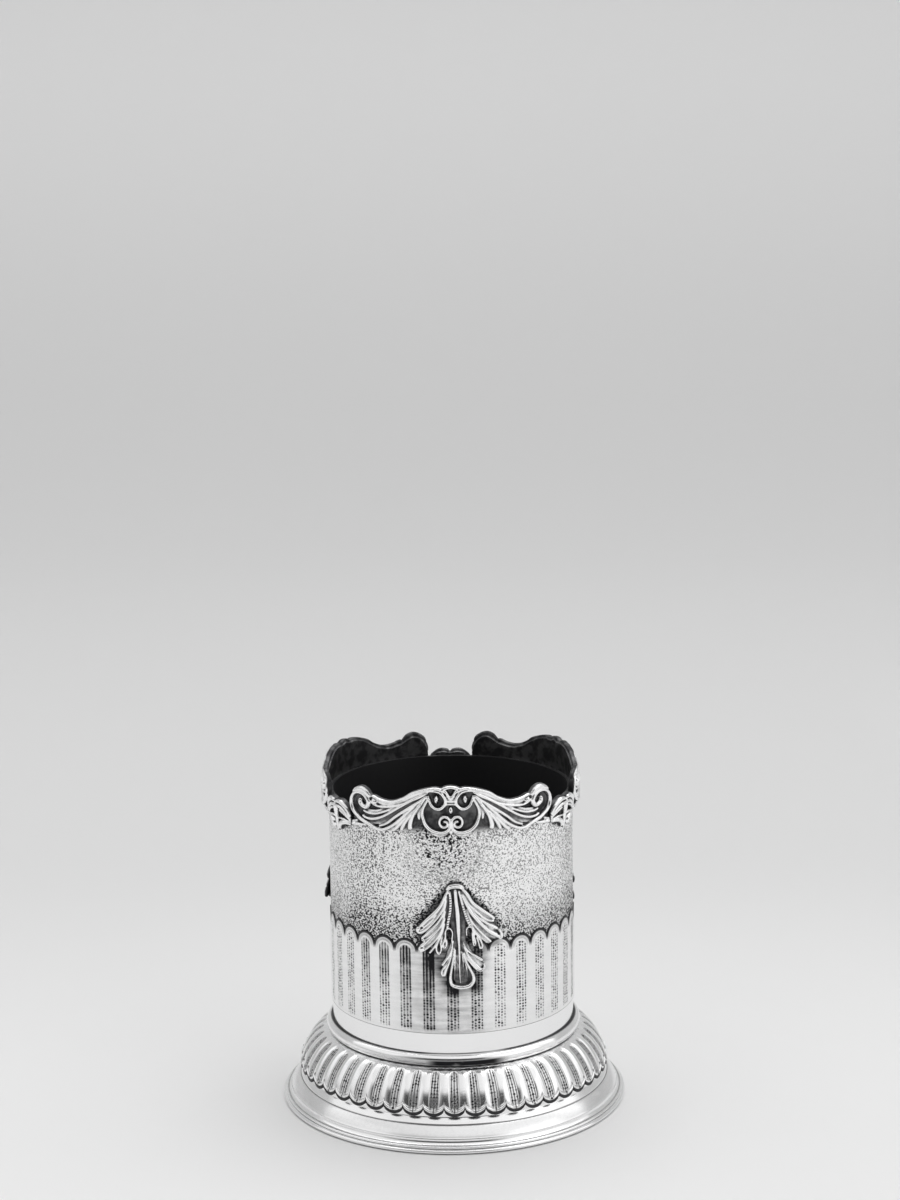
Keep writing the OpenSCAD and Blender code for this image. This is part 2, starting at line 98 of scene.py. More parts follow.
def bottom_of(node):
    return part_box(node)[0].z / MM


# Mesh making


def ring_grid(columns, rows):
    """Quads of a grid that closes round its columns and round its rows."""
    i, j = np.meshgrid(np.arange(columns), np.arange(rows), indexing="ij")
    i2, j2 = (i + 1) % columns, (j + 1) % rows
    return np.stack([i * rows + j, i2 * rows + j, i2 * rows + j2, i * rows + j2], -1).reshape(-1, 4)


def new_piece(name, points, quads, node, material, recess, sharp=35):
    """A piece of quads that stands for a CAD node. Points are in millimetres."""
    mesh = bpy.data.meshes.new(name)
    mesh.vertices.add(len(points))
    mesh.vertices.foreach_set("co", (np.asarray(points, float) * MM).ravel())
    mesh.loops.add(quads.size)
    mesh.loops.foreach_set("vertex_index", quads.ravel().astype(np.int32))
    mesh.polygons.add(len(quads))
    mesh.polygons.foreach_set("loop_start", np.arange(0, quads.size, 4, dtype=np.int32))
    mesh.update(calc_edges=True)
    return finish_piece(name, mesh, node, material, recess, sharp)


def set_attribute(mesh, name, values):
    mesh.attributes.new(name, "FLOAT", "POINT").data.foreach_set("value", values.astype(np.float32))


def finish_piece(name, mesh, node, material, recess, sharp):
    """Recess says how dark each point is, 0 to 1. Edges over sharp degrees stay sharp, none when it is 0."""
    mesh.shade_smooth()
    if sharp:
        mesh.set_sharp_from_angle(angle=math.radians(sharp))
    set_attribute(mesh, "recess", recess)
    mesh.materials.append(material)
    piece = bpy.data.objects.new(name, mesh)
    bpy.context.scene.collection.objects.link(piece)
    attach(piece, "root")
    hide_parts(node)
    return piece


def rounded(profile, radius, steps=4):
    """A closed profile with its corners rounded. A corner is (r, z) or (r, z, its own radius)."""
    points = []
    count = len(profile)
    for i in range(count):
        here, before, after = (np.array(profile[k % count][:2], float) for k in (i, i - 1, i + 1))
        wanted = profile[i][2] if len(profile[i]) > 2 else radius
        a, b = before - here, after - here
        # A corner takes up less than half of each side, and one this small stays a point
        reach = min(wanted, 0.45 * np.linalg.norm(a), 0.45 * np.linalg.norm(b))
        if reach < 1e-4:
            points.append(here)
            continue
        a, b = here + a / np.linalg.norm(a) * reach, here + b / np.linalg.norm(b) * reach
        for t in np.linspace(0, 1, steps + 1):
            points.append((1 - t) ** 2 * a + 2 * t * (1 - t) * here + t**2 * b)
    return np.array(points)


def arc(centre_r, centre_z, rx, rz, start, end, steps):
    """Corners of a profile along an arc from start to end degrees, with no rounding of their own."""
    angles = np.radians(np.linspace(start, end, steps + 1))
    return [(centre_r + rx * math.cos(a), centre_z + rz * math.sin(a), 0) for a in angles]


def turned(name, profile, node, material, recess):
    """A turned piece from a closed (r, z) profile. recess(r, z) says how dark its points are."""
    profile = np.asarray(profile, float)
    angles = np.linspace(0, 2 * math.pi, SEGMENTS, endpoint=False)[:, None]
    r, z = profile[:, 0][None], profile[:, 1][None]
    points = np.stack([r * np.sin(angles), -r * np.cos(angles), z + 0 * angles], -1).reshape(-1, 3)
    dark = np.tile(recess(profile[:, 0], profile[:, 1]), SEGMENTS)
    return new_piece(name, points, ring_grid(SEGMENTS, len(profile)), node, material, dark)


# Relief castings: strands drawn flat, fused into one skin and wrapped round the wall


def smooth_path(path, step):
    """Points at an even step along a smooth curve through the given points."""
    path = np.array(path, float)
    chord = np.linalg.norm(np.diff(path, axis=0), axis=1)
    t = np.concatenate([[0], np.cumsum(np.sqrt(chord))])
    slope = np.gradient(path, t, axis=0)
    out = []
    for i in range(len(path) - 1):
        h = t[i + 1] - t[i]
        s = np.linspace(0, 1, max(2, int(chord[i] / step) + 1), endpoint=False)[:, None]
        out.append(
            (2 * s**3 - 3 * s**2 + 1) * path[i]
            + (s**3 - 2 * s**2 + s) * h * slope[i]
            + (3 * s**2 - 2 * s**3) * path[i + 1]
            + (s**3 - s**2) * h * slope[i + 1]
        )
    return np.concatenate(out + [path[-1:]])


def strand(path, widths, heights, base=1.0, sides=12, step=0.3, sink=0.5):
    """A rounded ridge along a path, standing on its base height and sunk a little below it. Widths and
    heights are spread evenly from its start to its end."""
    line = smooth_path(path, step)
    run = np.concatenate([[0], np.cumsum(np.linalg.norm(np.diff(line, axis=0), axis=1))])
    share = run / run[-1]
    half = np.interp(share, np.linspace(0, 1, len(widths)), widths) / 2
    high = np.interp(share, np.linspace(0, 1, len(heights)), heights)
    end = np.clip(np.minimum(run, run[-1] - run) / np.maximum(half, 0.05), 0, 1)
    end = np.sqrt(np.clip(1 - (1 - end) ** 2, 0.004, 1))
    tangent = np.gradient(line, axis=0)
    tangent /= np.linalg.norm(tangent, axis=1)[:, None]
    normal = np.stack([-tangent[:, 1], tangent[:, 0]], 1)
    angle = np.linspace(0, 2 * math.pi, sides, endpoint=False)
    across = np.sign(np.cos(angle)) * np.abs(np.cos(angle)) ** 0.85
    up = np.where(np.sin(angle) > 0, np.abs(np.sin(angle)) ** 0.9, 0)
    down = np.where(np.sin(angle) < 0, np.sin(angle), 0) * sink
    flat = line[:, None, :] + normal[:, None, :] * (half * end)[:, None, None] * across[None, :, None]
    rise = base + up[None] * (high * end)[:, None] + down[None] * end[:, None]
    points = np.concatenate([flat, rise[:, :, None]], -1).reshape(-1, 3)
    faces = [tuple(q) for q in ring_tube(len(line), sides)]
    faces.append(tuple(range(sides)))
    faces.append(tuple((len(line) - 1) * sides + k for k in reversed(range(sides))))
    return points, faces


def ring_tube(rings, sides):
    """Quads of a tube open at both ends."""
    i, j = np.meshgrid(np.arange(rings - 1) * sides, np.arange(sides), indexing="ij")
    j2 = (j + 1) % sides
    return np.stack([i + j, i + sides + j, i + sides + j2, i + j2], -1).reshape(-1, 4)


def slab(low, top, thickness, step=0.4):
    """A plate between two edges, each a list of (across, up) points."""
    low, top = np.array(low, float), np.array(top, float)
    x = np.arange(max(low[0, 0], top[0, 0]), min(low[-1, 0], top[-1, 0]) + step / 2, step)
    z0, z1 = np.interp(x, low[:, 0], low[:, 1]), np.interp(x, top[:, 0], top[:, 1])
    b, t = np.zeros_like(x), np.full_like(x, thickness)
    corners = [(z0, b), (z0, t), (z1, t), (z1, b)]
    points = np.stack([np.stack([x, z, w], -1) for z, w in corners], 1).reshape(-1, 3)
    faces = [tuple(q) for q in ring_tube(len(x), 4)]
    return points, faces + [(0, 1, 2, 3), tuple(4 * (len(x) - 1) + k for k in (3, 2, 1, 0))]


def mirrored(solid):
    points, faces = solid
    return points * np.array([-1, 1, 1]), [tuple(reversed(f)) for f in faces]


def fused(name, solids, voxel):
    """One skin round all the solids, as a mesh in flat millimetres."""
    points, faces, start = [], [], 0
    for part_points, part_faces in solids:
        points.append(part_points)
        faces += [tuple(start + k for k in f) for f in part_faces]
        start += len(part_points)
    mesh = bpy.data.meshes.new(name + "_strands")
    mesh.from_pydata(np.concatenate(points).tolist(), [], faces)
    holder = bpy.data.objects.new(name + "_strands", mesh)
    bpy.context.scene.collection.objects.link(holder)
    skin = holder.modifiers.new("skin", "REMESH")
    skin.mode = "VOXEL"
    skin.voxel_size = voxel
    soften = holder.modifiers.new("soften", "SMOOTH")
    soften.factor, soften.iterations = 0.5, 2
    done = bpy.data.meshes.new_from_object(holder.evaluated_get(bpy.context.evaluated_depsgraph_get()))
    bpy.data.objects.remove(holder)
    bpy.data.meshes.remove(mesh)
    return done


def flat_points(mesh):
    points = np.zeros(len(mesh.vertices) * 3)
    mesh.vertices.foreach_get("co", points)
    return points.reshape(-1, 3)


def blurred(values, sigma):
    """A grid blurred by a bell curve of sigma cells."""
    reach = int(3 * sigma) + 1
    bell = np.exp(-0.5 * (np.arange(-reach, reach + 1) / sigma) ** 2)
    bell /= bell.sum()
    for axis in (0, 1):
        values = np.apply_along_axis(lambda line: np.convolve(line, bell, "same"), axis, values)
    return values


def smoothstep(low, high, value):
    t = np.clip((value - low) / (high - low), 0, 1)
    return t * t * (3 - 2 * t)


def recess_of(points, floor, cell=0.2, spreads=(0.45, 1.0), depth=0.34):
    """How deep each point lies in the relief, 0 to 1: hollows, the sunk floor and the back are dark."""
    low = points[:, :2].min(0) - 1
    index = ((points[:, :2] - low) / cell).astype(int)
    shape = tuple(index.max(0) + 6)
    height = np.full(shape, -1.0)
    np.maximum.at(height, (index[:, 0], index[:, 1]), points[:, 2])
    inside = height >= 0
    dark = 0
    for spread in spreads:
        weight = blurred(inside.astype(float), spread / cell)
        mean = blurred(np.where(inside, height, 0), spread / cell) / np.maximum(weight, 1e-3)
        below = mean[index[:, 0], index[:, 1]] - points[:, 2]
        dark = np.maximum(dark, smoothstep(-0.1, depth * (0.6 + spread), below))
    return np.maximum(dark, smoothstep(floor + 0.5, floor + 0.12, points[:, 2]))


def wrapped(flat, seat_r, turn, mesh):
    """A copy of a flat mesh wrapped on the wall: across is arc length at FLAT_R, and out is from the seat."""
    copy = mesh.copy()
    angle = flat[:, 0] / FLAT_R + math.radians(turn)
    r = seat_r + flat[:, 2]
    points = np.stack([r * np.sin(angle), -r * np.cos(angle), flat[:, 1]], -1) * MM
    copy.vertices.foreach_set("co", points.ravel())
    copy.update()
    return copy


# The scroll casting, right half. A strand is its path in (degrees from the middle, height), its widths
# and its heights.
SCROLL_TOP_EDGE = [
    (0, 120.4), (3, 119.6), (6, 119.9), (9.4, 119.6), (13.3, 118.7), (17.3, 117.2), (22.2, 115.2),
    (26.6, 114.2), (30.6, 114.1), (35.5, 114.9), (38.5, 116.2), (41.4, 117.2), (44.4, 116.8), (46.8, 115.3),
    (48.6, 113.2), (49.2, 111),
]
SCROLL_LOW_EDGE = [
    (0, 105.4), (6.4, 105.6), (9.9, 107), (12.1, 110), (14.3, 109.6), (16.5, 107), (18.2, 105.8),
    (20.7, 106.2), (22.7, 105.5), (26.1, 105.4), (30.6, 105.4), (34.5, 105), (41.9, 105.1), (49.2, 104.9),
]
SCROLL_STRANDS = [
    # outer volute
    ([(31.9, 105.2), (34.7, 105.1), (38.6, 106.2), (42.1, 107.1), (44.6, 108.2), (46.7, 109.3), (48, 110.6),
      (48.6, 112.5), (48.1, 114.1), (46.7, 115.5), (44.6, 116.3), (41.8, 116.4), (39.9, 115.8),
      (38.5, 114.7), (37.9, 113.5), (38.6, 112.4), (40, 111.8), (41.7, 112.2), (42.8, 113), (42.6, 113.9),
      (41.8, 114.2)], (0.6, 1, 1.1, 1.1, 1.1, 1.2, 1.5, 1.5, 1.3), (0.9, 1.5, 1.7, 1.7, 1.8, 1.8, 1.7)),
    # crest rolled over the volute
    ([(48.2, 114.9), (47, 116.2), (44.3, 117.2), (41.8, 117.6), (39.4, 117), (38, 116.1), (36.4, 115.5)],
      (0.5, 1.5, 2.2, 2.3, 2, 1.2), (0.8, 1.6, 1.7, 1.7, 1.4)),
    ([(40.6, 115.9), (39.2, 115.3), (38.3, 114.2), (38.2, 113.2), (39, 112.4)], (0.8, 1.7, 1.9, 1.4),
      (1.2, 1.6, 1.4)),
    # band along the top of the wing
    ([(37, 115.7), (34.9, 115.1), (33.1, 114.6), (30.6, 114.1), (27.5, 114), (24.5, 114.6), (20.4, 115.9),
      (16.8, 117.5), (13.1, 118.7), (9.5, 119.5), (6, 119.9), (4.2, 119.5), (2.8, 118.9)],
      (1.3, 1.9, 1.7, 1.5, 1.4, 1.3, 1.2, 1.1, 1, 0.8), (0.9, 1.1, 1.1, 1.1, 1.2, 1.2, 1.3, 1.4)),
    ([(36.6, 115.9), (34.9, 115.8), (33.1, 115.3), (30.6, 114.9), (27.5, 114.8), (24.5, 115.2),
      (20.2, 116.6), (16.8, 118.3), (13.1, 119.3), (9.5, 120), (6, 120.3), (4.2, 119.9), (2.4, 119.2)],
      (0.9, 0.8, 0.7, 0.7, 0.8), (1.5, 1.6, 1.6, 1.7)),
    ([(37.2, 114.3), (34.9, 113.2), (32.8, 112.8), (29.6, 112.8), (26.6, 113.2), (24.5, 113.6),
      (20.6, 114.6), (16.8, 116.2), (13.1, 117.6), (9.5, 118.8)], (0.6, 0.5, 0.5, 0.4),
      (1.5, 1.5, 1.4, 1.3)),
    ([(36.2, 115), (35, 114.2), (33.4, 113.9)], (1, 1.3, 0.5), (1.6, 1.7, 1.2)),
    # volute beside the middle and its eye
    ([(13, 118.3), (9.5, 119.3), (6.9, 119.4), (4.6, 119), (3.2, 117.9), (2.3, 116.4), (2.5, 115),
      (3.6, 113.9), (5.2, 113.3), (7, 113.7), (8.4, 114.7), (9.1, 116.1), (9.4, 117.2)],
      (0.3, 0.8, 1, 1.05, 1.05, 1, 0.9, 0.5), (0.9, 1.3, 1.6, 1.7, 1.7, 1.7, 1.3)),
    ([(4.9, 116.4), (6.2, 116.5), (7.5, 116.5)], (2.7, 3.1, 2.7), (1.8, 2.3, 1.8)),
    # low web under the wing
    ([(38.5, 108.8), (34, 108.4), (29, 110.2), (24, 112.4), (19, 114.7), (14, 117), (10.5, 118.4)],
      (1.6, 3.2, 4, 3.8, 3, 2.4, 1.4), (0.4, 0.6, 0.7, 0.8, 0.8)),
    ([(31, 106), (26.5, 108.2), (22, 110.9), (17.5, 113.2), (13, 115.8)], (1.6, 2.6, 3, 2.6, 1.6),
      (0.5, 0.75, 0.75)),
    # ribs of the wing
    ([(41.8, 110.4), (39.4, 110), (37.3, 109.9), (33.9, 110.2), (29.7, 111.3), (26.6, 112.4),
      (23.6, 113.4)], (0.5, 0.7, 0.7, 0.6, 0.3), (1, 1.4, 1.4, 1)),
    ([(40.4, 111), (37, 110.8), (33.6, 111.2), (30.2, 112.1), (27, 112.9)], (0.3, 0.5, 0.5, 0.3),
      (0.6, 0.9, 0.7)),
    ([(42.1, 108.9), (40.9, 108.3), (38.5, 108), (35.5, 108.2), (31.8, 109.1), (28.7, 110.3), (24.6, 112.3),
      (20.2, 114.4), (16.8, 115.9), (13.1, 117.2), (10.8, 118.2)], (0.5, 0.8, 0.9, 0.8, 0.8, 0.7, 0.6, 0.3),
      (1.1, 1.5, 1.6, 1.6, 1.5, 1.2)),
    ([(38.6, 107.2), (35.4, 106.6), (31.8, 107.3), (28, 109), (24.4, 111), (20.2, 113.3), (16.4, 115.2)],
      (0.3, 0.4, 0.5, 0.4, 0.3), (0.4, 0.6, 0.6, 0.4)),
    ([(33.2, 106), (31.4, 106.4), (28.7, 107.4), (24.7, 109.8), (20.3, 112.2), (16.9, 114), (13.2, 115.9),
      (10.6, 117.4)], (0.5, 0.9, 1, 1, 0.9, 0.7, 0.3), (1, 1.4, 1.5, 1.5, 1.4, 1.1)),
    ([(36.2, 105.2), (34, 104.9), (31.5, 104.9), (28.8, 105.6), (25.7, 107), (22.7, 109), (19.4, 111.4),
      (16.4, 113.5), (13, 115.8)], (0.7, 0.9, 1, 0.9, 0.8, 0.6, 0.3), (1.2, 1.6, 1.6, 1.5, 1.3, 0.9)),
    # fingers and the tooth at the lower edge
    ([(16.6, 112.6), (18.4, 111), (20.7, 109.2), (22.7, 107.5), (24.7, 105.9), (26.6, 105)],
      (0.4, 0.9, 1.2, 1.3, 1.2), (0.9, 1.3, 1.4, 1.3)),
    ([(14.4, 113.9), (16.2, 112.3), (18.4, 110.2), (20.7, 107.5), (22.2, 105.3)], (0.4, 0.9, 1.1, 1),
      (0.9, 1.4, 1.4, 1.2)),
    ([(10, 117.7), (11.6, 116.3), (14.3, 113.5), (16.2, 111.2), (17.5, 108.8), (17.9, 107.2),
      (17.5, 105.7)], (0.3, 0.8, 1.1, 1.2, 1.4, 1.8), (0.9, 1.4, 1.5, 1.5, 1.4)),
    ([(12.4, 114.9), (14.6, 112.9), (16.6, 110.4)], (0.3, 0.4, 0.3), (1.5, 1.6, 1.4)),
    ([(10.6, 116.6), (11.8, 115), (13.2, 112.8), (13.9, 110.6), (13.8, 109.2)], (0.4, 1.1, 1.6, 1.4, 0.4),
      (0.5, 0.8, 1, 0.9, 0.6)),
    ([(11.6, 114.2), (12.8, 111.8), (12.9, 110)], (0.4, 0.8, 0.4), (0.6, 0.9, 0.7)),
    # scroll round the middle field
    ([(9.4, 117.9), (9.9, 116.6), (10.9, 115), (11.9, 113.5), (12.3, 111.8), (11.8, 109.8), (10.8, 107.9),
      (8.9, 106.4), (6.6, 105.6), (4.4, 105.3), (2.3, 105.6), (0.9, 106.5), (0.25, 107.9), (0.3, 109.3),
      (1.3, 110.4), (2.9, 110.8), (4.4, 110.1), (4.9, 108.8), (4.2, 107.6), (2.9, 107.2), (1.7, 107.7),
      (1.5, 108.6), (2.5, 109.2), (3.4, 108.7)], (0.3, 0.8, 1, 1.15, 1.15, 1.1, 1, 0.9, 0.85, 0.8, 0.7),
      (0.9, 1.4, 1.7, 1.7, 1.7, 1.7, 1.6, 1.5)),
    ([(10, 105.4), (8, 104.9), (5.5, 104.3), (3.7, 104.4), (2, 105), (0.7, 106)], (0.4, 0.8, 0.9, 0.7),
      (0.6, 1, 1.1, 1)),
    # lower edge that runs on to the joint
    ([(39.6, 105.8), (42.5, 105.3), (45.5, 105.1), (49.1, 104.9)], (0.4, 0.9, 1), (0.8, 1.2, 1.3)),
    ([(45.4, 106.5), (47.4, 105.9), (49.1, 105.7)], (0.3, 0.6, 0.7), (0.5, 0.8, 0.9)),
    # crown over the middle
    ([(5.4, 119.8), (3.6, 120), (1.9, 120.5), (-1.2, 120.8)], (0.7, 1.1, 1.1, 1.1), (1.4, 1.6, 1.7, 1.7)),
    ([(3.4, 118.9), (2.2, 119.2), (1.5, 118.4), (0.9, 117.5), (-0.9, 116.8)], (0.6, 0.9, 1, 1.2, 1.5),
      (1.5, 1.7, 1.7, 1.6)),
    ([(2.4, 116.4), (1.2, 116.3), (-1, 116.3)], (0.8, 1, 1.3), (1.5, 1.5, 1.6)),
    ([(3, 114.6), (1.4, 115.1), (-1, 115.2)], (0.8, 0.9, 0.9), (1.6, 1.5, 1.5)),
    ([(0, 114.2), (0.1, 113), (0, 111.4)], (0.3, 1.3, 0.2), (0.9, 1.5, 0.6)),
    ([(0, 106.6), (0, 105.6), (0, 104.3)], (0.5, 1.1, 0.4), (1.3, 1.4, 0.8)),
]

# The husk over a joint, right half, in the same terms
HUSK_TOP_EDGE = [(0, 110.6), (3, 111.1), (6.4, 110.9), (9, 109.2), (10.5, 107)]
HUSK_LOW_EDGE = [(0, 101.8), (1.8, 101.6), (3.2, 102.8), (6.5, 103.8), (10.5, 103.9)]
HUSK_STRANDS = [
    # upper petal, its ribs running down to the scroll
    ([(0.3, 110.9), (4.2, 111.1), (8, 109.5), (10.4, 106.7)], (1.4, 2.1, 2, 0.9), (2.2, 2.3, 1.9, 1.2)),
    ([(0.3, 109.5), (4.4, 109.1), (8.2, 107.4), (10.5, 105.8)], (1.1, 1.5, 1.2, 0.7), (2.3, 2.1, 1.7, 1.1)),
    ([(2.2, 108.2), (5.4, 107.5), (8.4, 106.3), (10.4, 105.2)], (0.4, 0.9, 0.8, 0.5), (1.7, 1.7, 1.4, 1)),
    # thin blade under the black gap
    ([(0.6, 105), (4.2, 105.4), (7.6, 105.1), (10.5, 104.8)], (0.6, 0.8, 0.7, 0.5), (1.2, 1.4, 1.3, 1)),
    # lowest blade, its end rolled over
    ([(10.5, 104.2), (7, 104.4), (4, 103.8), (2.7, 102.5), (2.9, 101.2)], (0.6, 1.2, 1.7, 2.2, 1.7),
      (1.1, 1.5, 1.9, 2, 1.5)),
    # middle rib
    ([(0, 111.2), (0, 109.2), (0, 106.8), (0, 104.4), (0, 102), (0, 100.4)], (1, 1.5, 1.2, 1, 0.9, 0.4),
      (2.2, 2.5, 2.1, 1.6, 1.3, 0.8)),
]

# The leaf. Paths are in (across from its leaning axis, down from its top).
LEAF_SHEETS = [
    ([(0, 0.8), (0, 8), (0.2, 16), (0, 24), (0.3, 31), (0.4, 34.9)], (4.8, 5.4, 5.4, 4.4, 6.6, 6.4)),
    ([(-1.4, 2.6), (-4.4, 7.6), (-8.4, 11.8), (-12.1, 14.5)], (2, 3.6, 4, 3.4)),
    ([(-2.2, 6), (-5, 12), (-8.6, 15.5), (-11.6, 17.6)], (2, 3, 2.6, 1.4)),
    ([(-2.8, 9), (-5.6, 14.6), (-9, 18.6), (-12.8, 21.7)], (2.2, 3, 2.8, 2.2)),
    ([(-3.4, 12), (-5.4, 16.8), (-7.4, 20.2), (-9.6, 22.6)], (1.8, 2.2, 2, 1)),
    ([(1.6, 2.2), (4.8, 7.4), (8.4, 10.8), (12, 13.2)], (2, 3.2, 3.2, 2.4)),
    ([(2.4, 6), (6, 11.2), (9.6, 14.4), (13, 16.9)], (2, 2.8, 3, 2.6)),
    ([(2.4, 8), (5.6, 13.4), (9.4, 17), (13.6, 19.3)], (2, 2.8, 3.2, 3)),
    ([(3.2, 11), (5.6, 15.8), (8.2, 19), (10.7, 20.9)], (1.8, 2.4, 2.2, 1.6)),
    ([(-1.4, 19), (-3, 23.6), (-4.4, 27.4), (-5.5, 30.8)], (2.2, 2.8, 3, 2.2)),
    ([(1.2, 19.6), (3.2, 24.2), (5.4, 27.4), (7.1, 29.3)], (2.2, 3, 3.4, 2.8)),
]
